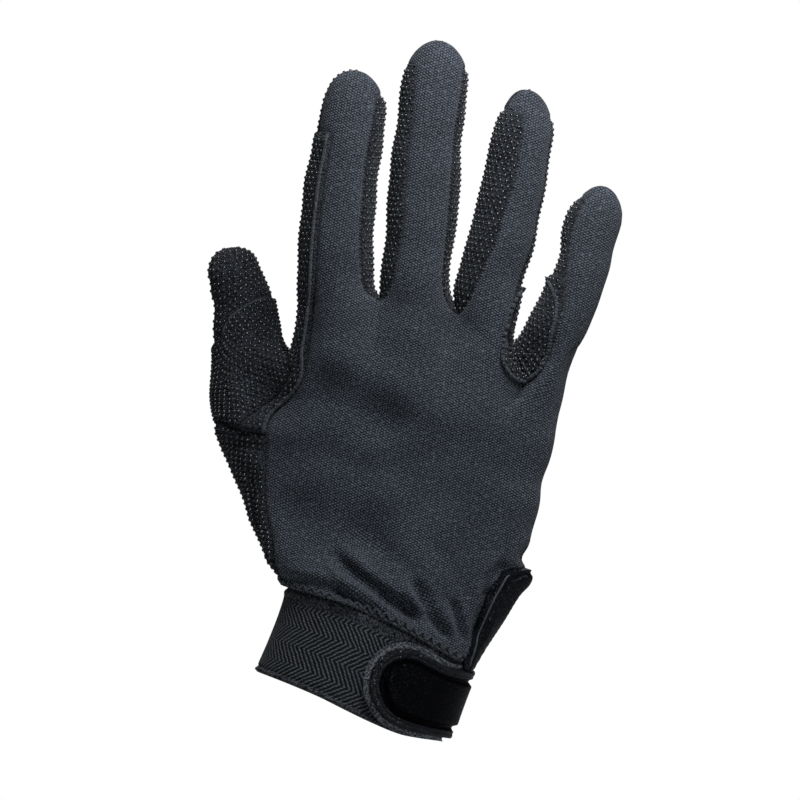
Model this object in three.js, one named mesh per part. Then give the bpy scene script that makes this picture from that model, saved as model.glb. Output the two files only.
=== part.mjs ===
// A right-hand riding glove, filled as a hand fills it, in millimetres.
// The back of the hand faces -Y, the middle finger points to +Z and the thumb lies to -X.
// The origin is the centre of the cuff's mouth, where the wrist goes in.
// Every panel is a thin wall of the glove's one skin. The skin is a tube of rings: the palm's rings
// split at the finger forks into four finger tubes, and the thumb grows out of a hole in the palm's side.
import * as THREE from "three";
import { mergeVertices } from "three/addons/utils/BufferGeometryUtils.js";

// Driving sizes of the hand part
const palmBreadth = 90; // across the knuckles
const palmLength = 93; // cuff seam to the finger forks
const wristWidth = 62.4; // outside of the cuff, side to side
const wristDepth = 43; // outside of the cuff, back to palm
const cuffHeight = 28.1;
const cuffLean = 21; // degrees that the wrist leans away from the middle finger
const palmOverhang = 2; // how far the gathered palm stands proud of the cuff
const thenarBulge = 7; // ball of the thumb
const ventBulge = 3; // how far the wrist slit is pushed out

// Walls and clearances
const knitWall = 1.2;
const gripWall = 1.2;
const patchWall = 0.8;
const elasticWall = 1.6;
const bindingWall = 1.8;
const seamGap = 0.3;
const cuffSeam = 0.7; // palm to cuff band

// Closure tab on the back of the wrist
const tabHeight = 23;
const tabRim = 1.3; // thickness of the welted edge
const tabGroove = 0.8;
const tabPad = 1.9; // thickness of the raised middle
const rimWidth = 3.4;
const grooveWidth = 1.4;
const hookWall = 0.7;
const hookMargin = 1.6; // hook fastener that shows past the tab's round end
const stitchMargin = 1.9; // tab edge to cuff mouth

// Fingers: length from fork line to tip, width and depth at the middle joint, lean in degrees from +Z,
// curl towards the palm at the tip, and the root's place as shares of palm breadth and length.
const fingers = {
  index: { length: 73, width: 22.7, depth: 18.2, lean: 4.2, curl: 7, rootAcross: -0.1457, rootUp: 1.084 },
  middle: { length: 82.4, width: 22.1, depth: 18.4, lean: 4.9, curl: 6, rootAcross: 0.1293, rootUp: 1.084 },
  ring: { length: 72.8, width: 20.8, depth: 17.4, lean: 11, curl: 7, rootAcross: 0.3683, rootUp: 1.029 },
  little: { length: 54.5, width: 19.2, depth: 15.6, lean: 17.7, curl: 8, rootAcross: 0.6073, rootUp: 0.913 },
};
const thumb = {
  length: 47,
  width: 21.7,
  depth: 18.8,
  lean: -7.1,
  rootAcross: -0.4537,
  rootUp: 0.762,
  rootDepth: 13,
  tipDepth: 25,
};

// A table as named rows: the first list names the columns.
const rowsOf = (names, ...rows) =>
  rows.map((row) => Object.fromEntries(names.map((name, i) => [name, row[i]])));

// Sections of the palm, wrist to forks. across and half are shares of palm breadth, lean is in degrees,
// drop (of the thumb side towards the palm), back and front are shares of wrist depth. seam and palmSeam
// are shares of the width where the back panel and the palm's face start, endSeam where the back's
// columns end.
const palmSections = rowsOf(
  ["at", "across", "half", "lean", "drop", "back", "front", "seam", "palmSeam", "endSeam"],
  [0.0, 0.0, 0.378, 21, 0.0, 0.51, 0.51, 0.012, 0.08, 0.944],
  [0.1, 0.0033, 0.433, 17.5, 0.03, 0.46, 0.46, 0.042, 0.09, 0.915],
  [0.22, 0.0153, 0.483, 14.3, 0.09, 0.41, 0.42, 0.062, 0.1, 0.91],
  [0.35, 0.0113, 0.52, 12.4, 0.18, 0.38, 0.4, 0.091, 0.13, 0.965],
  [0.5, -0.0017, 0.569, 10.5, 0.26, 0.37, 0.39, 0.142, 0.17, 0.985],
  [0.57, 0.0008, 0.5775, 10.5, 0.24, 0.36, 0.38, 0.15, 0.18, 0.985],
  [0.62, 0.0723, 0.524, 10.6, 0.19, 0.355, 0.375, 0.068, 0.19, 0.985],
  [0.67, 0.1143, 0.496, 11.2, 0.14, 0.35, 0.37, 0.057, 0.2, 0.985],
  [0.72, 0.1318, 0.4915, 11.6, 0.09, 0.34, 0.36, 0.073, 0.19, 0.985],
  [0.8, 0.1568, 0.4815, 10.7, 0.04, 0.31, 0.32, 0.059, 0.12, 0.985],
  [0.9, 0.1813, 0.481, 9.7, 0.01, 0.27, 0.28, 0.049, 0.07, 0.985],
  [1.0, 0.2073, 0.492, 9.0, 0.0, 0.24, 0.25, 0.045, 0.05, 0.985],
);

// Forks between the fingers. share is the column of the palm that runs into the fork. across and up are
// shares of palm breadth and length: first where the back panel's seams meet, then the crest of the web.
const forks = rowsOf(
  ["share", "across", "up", "crestAcross", "crestUp"],
  [0.297, 0.0053, 1.084, 0.0053, 1.095],
  [0.569, 0.2743, 1.036, 0.2643, 1.075],
  [0.8, 0.5083, 0.815, 0.4513, 0.915],
);

// Sections of each finger, fork to tip. shift and wide are shares of the finger's width; seamLeft and
// seamRight run from -1 to 1 across the finger, where the back panel ends as seen from the back.
const fingerSections = {
  index: rowsOf(
    ["at", "shift", "wide", "seamLeft", "seamRight"],
    [0, -0.028, 1.03, -0.62, 0.75],
    [0.25, -0.064, 0.991, -0.6, 0.63],
    [0.5, -0.054, 0.963, -0.58, 0.6],
    [0.66, -0.015, 0.921, -0.58, 0.58],
    [0.8, 0.015, 0.907, -0.64, 0.64],
    [0.9, 0.006, 0.888, -0.75, 0.78],
    [1, 0, 0.92, -0.8, 0.8],
  ),
  middle: rowsOf(
    ["at", "shift", "wide", "seamLeft", "seamRight"],
    [0, -0.035, 1, -0.75, 0.8],
    [0.12, -0.051, 0.962, -0.65, 0.83],
    [0.24, -0.033, 0.962, -0.58, 0.8],
    [0.39, -0.038, 1.018, -0.57, 0.76],
    [0.54, -0.051, 0.975, -0.56, 0.81],
    [0.66, -0.038, 0.932, -0.58, 0.82],
    [0.82, -0.011, 0.946, -0.68, 0.85],
    [1, 0, 0.95, -0.8, 0.88],
  ),
  ring: rowsOf(
    ["at", "shift", "wide", "seamLeft", "seamRight"],
    [0, -0.082, 0.885, -0.62, 0.8],
    [0.1, -0.065, 0.986, -0.38, 0.9],
    [0.21, -0.038, 0.976, -0.24, 0.95],
    [0.34, 0.014, 1, -0.14, 0.97],
    [0.47, 0.023, 0.959, -0.07, 0.98],
    [0.6, 0.041, 0.957, 0.02, 0.98],
    [0.74, 0.031, 0.913, 0.04, 0.98],
    [0.84, 0.04, 0.888, -0.02, 0.97],
    [0.93, 0.032, 0.823, -0.22, 0.95],
    [1, 0, 0.83, -0.3, 0.9],
  ),
  little: rowsOf(
    ["at", "shift", "wide", "seamLeft", "seamRight"],
    [0, -0.104, 0.938, 0.1, 0.9],
    [0.08, -0.066, 0.919, 0.08, 0.92],
    [0.19, -0.02, 0.935, -0.08, 0.94],
    [0.31, 0.026, 0.901, -0.24, 0.95],
    [0.43, 0.042, 0.87, -0.5, 0.95],
    [0.55, 0.044, 0.875, -0.68, 0.95],
    [0.67, -0.009, 0.898, -0.68, 0.95],
    [0.8, -0.016, 0.917, -0.65, 0.95],
    [0.9, 0.007, 0.839, -0.68, 0.92],
    [1, 0, 0.78, -0.7, 0.9],
  ),
};
const thumbSections = rowsOf(
  ["at", "shift", "wide"],
  [0, -0.03, 1.0],
  [0.17, 0, 1.0],
  [0.36, 0.055, 0.968],
  [0.5, 0.04, 0.924],
  [0.64, 0.074, 0.857],
  [0.71, 0.052, 0.836],
  [0.78, 0.026, 0.776],
  [0.85, -0.013, 0.773],
  [0.92, -0.009, 0.824],
  [1, 0, 0.95],
);
const cuffSections = rowsOf(
  ["at", "wide"],
  [0, 1.0],
  [0.3, 0.985],
  [0.6, 0.98],
  [0.85, 0.985],
  [1, 1.0],
);

// Droop of the cuff's mouth and of its seam to the palm, on the back, as shares of cuff height.
// at runs from -1 at the thumb side to 1 at the little-finger side.
const cuffDroop = rowsOf(
  ["at", "mouth", "seam"],
  [-1, 0, 0],
  [-0.65, 0.005, -0.04],
  [-0.3, 0.02, -0.064],
  [0, 0.052, -0.053],
  [0.3, 0.078, -0.018],
  [0.6, 0.085, 0.043],
  [0.8, 0.05, 0.07],
  [1, 0, 0.02],
);

// Main creases of the back above the cuff, fanning out from the closure tab. All are shares: start and
// end give column and row on the palm, deep is a share of the largest crease.
const creaseDepth = 1.5;
const creaseWidth = 8;
const creases = rowsOf(
  ["fromAcross", "fromUp", "toAcross", "toUp", "deep"],
  [0.93, 0.03, 0.42, 0.27, 1.0],
  [0.86, 0.01, 0.3, 0.13, 0.9],
  [0.95, 0.06, 0.66, 0.3, 0.6],
  [0.99, 0.16, 0.9, 0.36, 0.6],
);

// Facets: columns of each finger's back or front, of each side, and rows of the tubes
const faceColumns = 5;
const sideColumns = 6;
const palmRows = [0, 0.05, 0.11, 0.17, 0.23, 0.29, 0.37, 0.46, 0.56, 0.62, 0.67, 0.73, 0.79, 0.86, 0.93, 1];
const fingerRows = [0, 0.03, 0.08, 0.15, 0.25, 0.37, 0.5, 0.62, 0.74, 0.82, 0.89, 0.945, 0.985];
const thumbRows = [0, 0.1, 0.21, 0.32, 0.42, 0.52, 0.64, 0.75, 0.85, 0.93, 0.98];
const tipStart = { index: 0.8, middle: 0.82, ring: 0.82, little: 0.8, thumb: 0.8 };
const boxiness = 0.84; // exponent of the palm's oval section: 1 is an ellipse, less is squarer
const ulnarPalmSeam = 0.94; // share of the width where the palm's face starts, little-finger side
const frontSeam = 0.8; // share of a finger's half width where its front panel ends
const forkBlend = 0.2; // share of a finger's length over which its tube takes its own section
const holeRows = { first: 8, last: 12 }; // palm rows between which the thumb's hole lies
const ventRows = 5; // palm rows that the wrist slit takes
const tipRow = 10; // first finger row without side strips

const radians = (degrees) => (degrees * Math.PI) / 180;
const mix = (a, b, t) => a + (b - a) * t;
const smooth = (t) => {
  const c = Math.min(1, Math.max(0, t));
  return c * c * (3 - 2 * c);
};

// A bell of height 1 at the middle
const bump = (value, middle, reach) => Math.exp(-(((value - middle) / reach) ** 2));

// A table's column at any place, on a smooth curve through its rows.
function sample(table, column, at) {
  const last = table.length - 1;
  let i = 0;
  while (i < last - 1 && at > table[i + 1].at) i++;
  const slope = (k) => {
    const a = table[Math.max(0, k - 1)];
    const b = table[Math.min(last, k + 1)];
    return (b[column] - a[column]) / (b.at - a.at);
  };
  const span = table[i + 1].at - table[i].at;
  const t = Math.min(1, Math.max(0, (at - table[i].at) / span));
  const t2 = t * t;
  const t3 = t2 * t;
  return (
    (2 * t3 - 3 * t2 + 1) * table[i][column] +
    (t3 - 2 * t2 + t) * span * slope(i) +
    (3 * t2 - 2 * t3) * table[i + 1][column] +
    (t3 - t2) * span * slope(i + 1)
  );
}

// The round end of a finger: its width falls to nothing at the tip as a quarter ellipse.
function tipRound(at, start) {
  const past = Math.max(0, (at - start) / (1 - start));
  return Math.sqrt(Math.max(0, 1 - past * past));
}

const leanOut = radians(cuffLean);
const wristUp = new THREE.Vector3(Math.sin(leanOut), 0, Math.cos(leanOut));
const wristAcross = new THREE.Vector3(Math.cos(leanOut), 0, -Math.sin(leanOut));
const wristCentre = wristUp.clone().multiplyScalar(cuffHeight + cuffSeam);

// Angle on an oval section of a point at a share of its width: the back runs 0 to pi, the front pi to 2 pi.
const backAngle = (share) => Math.acos(1 - 2 * share);
const frontAngle = (share) => 2 * Math.PI - Math.acos(1 - 2 * share);

// The droop at an angle round the cuff and a height up it, as a length. The front side has none.
function droopAt(angle, up) {
  const u = -Math.cos(angle);
  const fade = smooth(Math.sin(angle) * 2.5 + 0.5);
  const droop = mix(sample(cuffDroop, "mouth", u), sample(cuffDroop, "seam", u), up);
  return cuffHeight * (Math.sin(angle) > 0 ? droop : droop * fade);
}

// Distance of a place on the back from a crease's line, measured on the palm.
function creaseAt(share, up) {
  let depth = 0;
  for (const c of creases) {
    const dx = (c.toAcross - c.fromAcross) * palmBreadth;
    const dz = (c.toUp - c.fromUp) * palmLength;
    const px = (share - c.fromAcross) * palmBreadth;
    const pz = (up - c.fromUp) * palmLength;
    const along = (px * dx + pz * dz) / (dx * dx + dz * dz);
    const off = Math.abs(px * dz - pz * dx) / Math.hypot(dx, dz);
    const ends = smooth((along + 0.1) * 4) * smooth((1.15 - along) * 3);
    depth += creaseDepth * c.deep * ends * bump(off, 0, creaseWidth / 2);
  }
  return depth;
}

// A point of the palm's oval tube. up runs 0 at the cuff to 1 at the forks.
function palmTube(angle, up) {
  const lean = radians(sample(palmSections, "lean", up));
  const wristFade = Math.max(0, 1 - up / 0.35) ** 2;
  const toWrist = wristWidth / 2 + palmOverhang - palmSections[0].half * palmBreadth;
  const half = sample(palmSections, "half", up) * palmBreadth + toWrist * wristFade;
  const across = sample(palmSections, "across", up) * palmBreadth;
  const drop = sample(palmSections, "drop", up) * wristDepth;
  const back = sample(palmSections, "back", up) * wristDepth;
  const front = sample(palmSections, "front", up) * wristDepth;
  const u = -Math.cos(angle);
  const share = (1 + u) / 2;
  const round = Math.abs(Math.sin(angle)) ** boxiness;
  const isBack = Math.sin(angle) >= 0;
  const ball = thenarBulge * bump(share, 0.22, 0.17) * bump(up, 0.36, 0.2);
  const push = ventBulge * Math.max(0, u) ** 8 * bump(up, 0.25, 0.08);
  const crease = isBack ? creaseAt(share, up) * smooth(round * 3) : 0;
  const depth = drop * (1 - share) + (isBack ? -back * round + crease : (front + ball) * round);
  return new THREE.Vector3(
    wristCentre.x + across + (half * u + push) * Math.cos(lean),
    depth,
    wristCentre.z + up * palmLength - half * u * Math.sin(lean) - droopAt(angle, 1) * smooth(1 - up / 0.3),
  );
}

// A place given in shares of palm breadth and length.
const onPalm = (across, up) =>
  new THREE.Vector3(wristCentre.x + across * palmBreadth, 0, wristCentre.z + up * palmLength);

// Places of one ring's columns, as angles: the back, the little-finger side, the front, the thumb side.
function spread(stops, counts) {
  const angles = [];
  counts.forEach((count, i) => {
    for (let k = 0; k < count; k++) angles.push(mix(stops[i], stops[i + 1], k / count));
  });
  return angles;
}

const names = Object.keys(fingers);
const forkShares = forks.map((f) => f.share);
const backColumns = faceColumns * names.length;
const frontStart = backColumns + sideColumns;
const thumbSideStart = frontStart + backColumns;
const ringColumns = thumbSideStart + sideColumns;

function palmAngles(up) {
  const onBack = [sample(palmSections, "seam", up), ...forkShares, sample(palmSections, "endSeam", up)];
  const onFront = [ulnarPalmSeam, ...forkShares.toReversed(), sample(palmSections, "palmSeam", up)];
  const stops = [...onBack.map(backAngle), ...onFront.map(frontAngle)];
  stops.push(stops[0] + 2 * Math.PI);
  const perFinger = names.map(() => faceColumns);
  return spread(stops, [...perFinger, sideColumns, ...perFinger, sideColumns]);
}

// The skin's shared points, and its four-sided faces with where they lie
const points = [];
const faces = [];
const addPoint = (p) => points.push(p) - 1;
function addFaces(lower, upper, tag) {
  for (let k = 0; k < lower.length; k++) {
    const next = (k + 1) % lower.length;
    faces.push({ corners: [lower[k], lower[next], upper[next], upper[k]], column: k, ...tag });
  }
}

// At the fork line the back and front of each finger stand out as low domes between the forks.
const forkBack = (i) => -0.26 * fingers[names[i]].depth;
const forkFront = (i) => 0.3 * fingers[names[i]].depth;
const domeShare = 0.3;
function forkLine() {
  const angles = palmAngles(1);
  const line = angles.map((angle) => palmTube(angle, 1));
  const toFork = (across, up, angle) => onPalm(across, up).sub(palmTube(angle, 1)).setY(0);
  const none = new THREE.Vector3();
  const shifts = [none, ...forks.map((f) => toFork(f.across, f.up, backAngle(f.share))), none];
  const crests = [none, ...forks.map((f) => toFork(f.crestAcross, f.crestUp, frontAngle(f.share))), none];
  names.forEach((name, i) => {
    for (let k = 0; k <= faceColumns; k++) {
      const t = k / faceColumns;
      const backPoint = line[i * faceColumns + k];
      const isEdge = (i === 0 && k === 0) || (i === names.length - 1 && k === faceColumns);
      const dome = domeShare * fingers[name].depth * Math.sin(Math.PI * t);
      const leftBack = i === 0 ? line[0].y : forkBack(i);
      const rightBack = i === names.length - 1 ? line[backColumns].y : forkBack(i);
      if (k < faceColumns || i === names.length - 1) {
        backPoint.add(shifts[i].clone().lerp(shifts[i + 1], t));
        if (!isEdge) backPoint.y = mix(leftBack, rightBack, t) - dome;
      }
      const frontIndex = thumbSideStart - i * faceColumns - k;
      const frontPoint = line[frontIndex % ringColumns];
      const leftFront = i === 0 ? line[thumbSideStart].y : forkFront(i);
      const rightFront = i === names.length - 1 ? line[frontStart].y : forkFront(i);
      if (k < faceColumns || i === names.length - 1) {
        frontPoint.add(crests[i].clone().lerp(crests[i + 1], t));
        if (!isEdge) frontPoint.y = mix(leftFront, rightFront, t) + dome;
      }
    }
  });
  return line;
}

// Palm rings: the tube, drawn over its last quarter towards the fork line.
const forkRing = forkLine();
const tubeEnd = palmAngles(1).map((angle) => palmTube(angle, 1));
const palmRings = palmRows.map((up) => {
  const weight = smooth((up - 0.7) / 0.3);
  return palmAngles(up).map((angle, k) => {
    const p = palmTube(angle, up);
    return addPoint(p.addScaledVector(forkRing[k].clone().sub(tubeEnd[k]), weight));
  });
});
palmRings.slice(1).forEach((upper, r) => addFaces(palmRings[r], upper, { zone: "palm", row: r }));

// The web of each fork: an arch from the back seam over the crest to the front seam.
const topRing = palmRings[palmRings.length - 1];
const webs = forks.map((f, k) => {
  const from = points[topRing[(k + 1) * faceColumns]];
  const to = points[topRing[thumbSideStart - (k + 1) * faceColumns]];
  const crest = onPalm(f.crestAcross, f.crestUp);
  const web = [topRing[(k + 1) * faceColumns]];
  for (let j = 1; j < sideColumns; j++) {
    const t = j / sideColumns;
    const rise = Math.sin(Math.min(1, t * 1.6) * (Math.PI / 2));
    const p = from.clone().lerp(crest, rise).setY(mix(from.y, to.y, t));
    web.push(addPoint(p));
  }
  web.push(topRing[thumbSideStart - (k + 1) * faceColumns]);
  return web;
});

// Rings of the finger tubes
names.forEach((name, i) => {
  const finger = fingers[name];
  const table = fingerSections[name];
  const axis = new THREE.Vector3(Math.sin(radians(finger.lean)), 0, Math.cos(radians(finger.lean)));
  const side = new THREE.Vector3(axis.z, 0, -axis.x);
  const root = onPalm(finger.rootAcross, finger.rootUp);
  const base = [];
  for (let k = 0; k < faceColumns; k++) base.push(topRing[i * faceColumns + k]);
  const rightSide = i < forks.length ? webs[i] : topRing.slice(backColumns, frontStart + 1);
  base.push(...rightSide.slice(0, sideColumns));
  for (let k = 0; k < faceColumns; k++) base.push(topRing[thumbSideStart - (i + 1) * faceColumns + k]);
  const leftSide = i > 0 ? webs[i - 1].toReversed() : [...topRing.slice(thumbSideStart), topRing[0]];
  base.push(...leftSide.slice(0, sideColumns));
  let lower = base;
  for (let r = 1; r < fingerRows.length; r++) {
    const at = fingerRows[r];
    const round = tipRound(at, tipStart[name]);
    const half = (finger.width / 2) * sample(table, "wide", at) * round;
    const deep = (finger.depth / 2) * mix(1.08, 0.9, at) * round;
    const centre = root.clone().addScaledVector(axis, at * finger.length);
    centre.addScaledVector(side, sample(table, "shift", at) * finger.width);
    centre.y += finger.curl * at * at;
    const stops = [
      Math.acos(-sample(table, "seamLeft", at)),
      Math.acos(-sample(table, "seamRight", at)),
      2 * Math.PI - Math.acos(-frontSeam),
      2 * Math.PI - Math.acos(frontSeam),
    ];
    stops.push(stops[0] + 2 * Math.PI);
    const angles = spread(stops, [faceColumns, sideColumns, faceColumns, sideColumns]);
    const ring = angles.map((angle, k) => {
      const own = centre.clone().addScaledVector(side, -half * Math.cos(angle));
      own.y -= deep * Math.sin(angle);
      const fromBase = points[base[k]].clone().addScaledVector(axis, at * finger.length);
      const inFace = k < faceColumns ? k / faceColumns : (k - faceColumns - sideColumns) / faceColumns;
      const isSide = inFace < 0 || inFace > 1;
      const edge = isSide ? 1 : Math.cos(Math.PI * inFace) ** 2;
      const t = Math.min(1, at / forkBlend);
      const toOwn = own.sub(fromBase);
      const sideways = toOwn.dot(side);
      const weight = mix(smooth(t), 1 - (1 - t) ** 3, edge);
      const sideWeight = mix(smooth(t), 1 - (1 - t) ** 7, edge);
      fromBase.addScaledVector(toOwn, weight).addScaledVector(side, sideways * (sideWeight - weight));
      return addPoint(fromBase);
    });
    addFaces(lower, ring, { zone: name, row: r - 1 });
    lower = ring;
  }
  const tip = root.clone().addScaledVector(axis, finger.length);
  tip.y += finger.curl;
  const tipId = addPoint(tip);
  lower.forEach((id, k) => {
    const next = lower[(k + 1) % lower.length];
    faces.push({ corners: [id, next, tipId], column: k, zone: name, row: fingerRows.length - 1 });
  });
});

// The thumb's hole in the palm's side, and the tube that grows out of it
const firstSide = thumbSideStart + 1;
const lastSide = thumbSideStart + sideColumns - 1;
const isWithin = (value, first, end) => value >= first && value < end;
const inHole = (f) =>
  f.zone === "palm" &&
  isWithin(f.row, holeRows.first, holeRows.last) &&
  isWithin(f.column, firstSide, lastSide);
const loop = [];
for (let c = firstSide; c < lastSide; c++) loop.push(palmRings[holeRows.first][c]);
for (let r = holeRows.first; r < holeRows.last; r++) loop.push(palmRings[r][lastSide]);
for (let c = lastSide; c > firstSide; c--) loop.push(palmRings[holeRows.last][c]);
for (let r = holeRows.last; r > holeRows.first; r--) loop.push(palmRings[r][firstSide]);

const thumbRoot = onPalm(thumb.rootAcross, thumb.rootUp).setY(thumb.rootDepth);
const thumbAxis = new THREE.Vector3(Math.sin(radians(thumb.lean)), 0, Math.cos(radians(thumb.lean)));
const thumbSide = new THREE.Vector3(thumbAxis.z, 0, -thumbAxis.x);
const thumbRise = thumb.tipDepth - thumb.rootDepth;
const holeColumns = lastSide - firstSide;
const holeHeight = holeRows.last - holeRows.first;
const thumbAngles = spread(
  [-Math.PI / 4, Math.PI / 4, (3 * Math.PI) / 4, (5 * Math.PI) / 4, (7 * Math.PI) / 4],
  [holeColumns, holeHeight, holeColumns, holeHeight],
);
function thumbTube(at, angle) {
  const round = tipRound(at, tipStart.thumb);
  const half = (thumb.width / 2) * sample(thumbSections, "wide", at) * round;
  const deep = (thumb.depth / 2) * mix(1, 0.86, at) * round;
  const p = thumbRoot.clone().addScaledVector(thumbAxis, at * thumb.length);
  p.addScaledVector(thumbSide, sample(thumbSections, "shift", at) * thumb.width - half * Math.cos(angle));
  p.y += thumbRise * at - deep * Math.sin(angle);
  return p;
}
// Each line of the thumb starts from the hole's edge at its own height and takes the tube's shape on the
// way. On the web side it first runs out from the palm, then up.
const webOut = new THREE.Vector3(-0.8, 0.6, 0);
const webReach = 4.2;
let thumbLower = loop;
for (let r = 1; r < thumbRows.length; r++) {
  const weight = smooth(thumbRows[r] / 0.4);
  const ring = loop.map((id, k) => {
    const start = points[id].clone().sub(thumbRoot).dot(thumbAxis) / thumb.length;
    const at = mix(start, 1, thumbRows[r]);
    const webShare = smooth(start / 0.2);
    const rise = (at - start) * thumb.length * mix(1, smooth(thumbRows[r] / 0.3), webShare);
    const fromHole = points[id].clone().addScaledVector(thumbAxis, rise);
    fromHole.addScaledVector(webOut, webReach * webShare * smooth(thumbRows[r] / 0.15));
    fromHole.y += thumbRise * (at - start);
    return addPoint(fromHole.lerp(thumbTube(at, thumbAngles[k]), weight));
  });
  addFaces(thumbLower, ring, { zone: "thumb", row: r - 1 });
  thumbLower = ring;
}
const thumbTip = thumbRoot.clone().addScaledVector(thumbAxis, thumb.length);
thumbTip.y = thumb.tipDepth;
const thumbTipId = addPoint(thumbTip);
thumbLower.forEach((id, k) => {
  const next = thumbLower[(k + 1) % thumbLower.length];
  faces.push({ corners: [id, next, thumbTipId], column: k, zone: "thumb", row: thumbRows.length - 1 });
});

// Outward direction of a face, with its area as length
function faceNormal(allPoints, corners) {
  const [a, b, c, d] = corners.map((id) => allPoints[id]);
  const across = (d ? c : b).clone().sub(a);
  return across.cross((d ?? c).clone().sub(d ? b : a));
}

// Outward directions at a skin's points
function outward(allPoints, allFaces) {
  const normals = allPoints.map(() => new THREE.Vector3());
  for (const { corners } of allFaces) {
    const normal = faceNormal(allPoints, corners);
    corners.forEach((id) => normals[id].add(normal));
  }
  return normals.map((n) => n.normalize());
}

// A wall over some faces of a skin, between two heights above it. Its edges draw back along the skin by
// the given distance, mitred at corners. lift adds to the outer height where the wall isn't even.
const longestMitre = 2.5;
const steepestFold = 1.8;
function wall(skin, chosen, inner, outer, drawBack = seamGap / 2, lift = () => 0) {
  const used = new Map();
  const edges = new Map();
  for (const { corners } of chosen) {
    const middle = new THREE.Vector3();
    for (const id of corners) middle.addScaledVector(skin.points[id], 1 / corners.length);
    const normal = faceNormal(skin.points, corners).normalize();
    corners.forEach((id, k) => {
      if (!used.has(id)) used.set(id, { slot: used.size, middles: [], normals: [], rims: [] });
      used.get(id).middles.push(middle);
      used.get(id).normals.push(normal);
      const next = corners[(k + 1) % corners.length];
      if (!edges.delete(next + ">" + id)) edges.set(id + ">" + next, [id, next]);
    });
  }
  for (const [a, b] of edges.values()) {
    const step = skin.points[b].clone().sub(skin.points[a]);
    for (const id of [a, b]) used.get(id).rims.push(skin.normals[id].clone().cross(step).normalize());
  }
  const positions = new Float32Array(used.size * 6);
  for (const [id, { slot, middles, normals, rims }] of used) {
    const place = skin.points[id].clone();
    const facing = normals.reduce((sum, n) => sum.add(n), new THREE.Vector3()).normalize();
    const up = inner > 0 ? facing.clone() : skin.normals[id].clone();
    if (rims.length) {
      const mitre = Math.min(longestMitre, Math.sqrt(2 / Math.max(0.1, 1 + rims[0].dot(rims[1]))));
      const middle = new THREE.Vector3();
      for (const m of middles) middle.addScaledVector(m, 1 / middles.length);
      const t = Math.min(0.8, (drawBack * mitre) / middle.distanceTo(place));
      place.lerp(middle, t);
      up.lerp(facing, t).normalize();
    }
    // In a fold a wall that lies on the skin rises further, so that it clears the faces on both sides.
    const tilt = Math.min(...normals.map((n) => n.dot(up)));
    const clear = inner > 0 ? Math.min(steepestFold, 1 / Math.max(0.1, tilt)) : 1;
    place.clone().addScaledVector(up, outer * clear + lift(id)).toArray(positions, slot * 3);
    place.clone().addScaledVector(up, inner * clear).toArray(positions, (used.size + slot) * 3);
  }
  const triangles = [];
  const top = (id) => used.get(id).slot;
  const under = (id) => used.get(id).slot + used.size;
  for (const { corners } of chosen) {
    for (let k = 1; k + 1 < corners.length; k++) {
      triangles.push(top(corners[0]), top(corners[k]), top(corners[k + 1]));
      triangles.push(under(corners[0]), under(corners[k + 1]), under(corners[k]));
    }
  }
  // Both walls at a seam split its twisted rim along the same diagonal.
  for (const [a, b] of edges.values()) {
    triangles.push(top(b), top(a), a < b ? under(b) : under(a));
    triangles.push(a < b ? top(a) : top(b), under(a), under(b));
  }
  const geometry = new THREE.BufferGeometry();
  geometry.setAttribute("position", new THREE.BufferAttribute(positions, 3));
  geometry.setIndex(triangles);
  return mergeVertices(geometry, 1e-4);
}

const skin = { points, normals: outward(points, faces.filter((f) => !inHole(f))) };

// Which panel each face of the skin belongs to
const fingerColumn = (f) => {
  if (f.column < faceColumns) return "back";
  if (f.column < faceColumns + sideColumns) return "right";
  if (f.column < 2 * faceColumns + sideColumns) return "front";
  return "left";
};
const isVent = (f) => f.zone === "palm" && f.row < ventRows && isWithin(f.column, backColumns, frontStart);
function panelOf(f) {
  if (f.zone === "thumb") return "thumb";
  if (f.zone === "palm") {
    if (inHole(f) || isVent(f)) return null;
    return f.column < frontStart ? "back" : "palm";
  }
  const part = fingerColumn(f);
  if (part === "back") return "back";
  if (part === "front") return "palm";
  const step = part === "right" ? f.column - faceColumns : f.column - 2 * faceColumns - sideColumns;
  const nearBack = part === "right" ? step < sideColumns / 2 : step >= sideColumns / 2;
  if (f.row >= tipRow) return nearBack ? "back" : "palm";
  if (f.zone === "index" && part === "left") return "palm";
  if (f.zone === "little" && part === "right") return "back";
  const fork = names.indexOf(f.zone) - (part === "left" ? 1 : 0);
  return "fork" + fork;
}
const facesOf = (panel) => faces.filter((f) => panelOf(f) === panel);

// Patches of grip fabric sewn over the skin where the reins run
const patchBase = 0.7;
const patchInset = 0.7; // how far a patch keeps inside the seams round it
const bandTop = 8; // finger row where the index patch ends
const isIndexPatch = (f) => {
  const step = f.zone === "palm" ? f.column - thumbSideStart : f.column - 2 * faceColumns - sideColumns;
  if (step < 0) return false;
  if (f.zone === "index") return f.row < bandTop && step >= 2;
  if (f.zone !== "palm" || f.row < holeRows.first) return false;
  return f.row < holeRows.last ? step >= sideColumns - 1 : step >= 2;
};
const forkPatchTop = { ring: 3, little: 5 };
const isForkPatch = (f) => panelOf(f) === "fork2" && f.row < forkPatchTop[f.zone];
const thumbPatch = { rows: 5, firstColumn: 3, webColumn: 8, lastColumn: 11 };
const isThumbPatch = (f) => {
  if (f.zone !== "thumb" || f.row >= thumbPatch.rows || f.column < thumbPatch.firstColumn) return false;
  return f.column < thumbPatch.webColumn || (f.row > 0 && f.column < thumbPatch.lastColumn);
};

// Binding round the wrist slit: the faces next to the slit's edge
const slitColumn = 3;
const isBinding = (f) => isVent(f) && (f.column !== backColumns + slitColumn || f.row === ventRows - 1);

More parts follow.
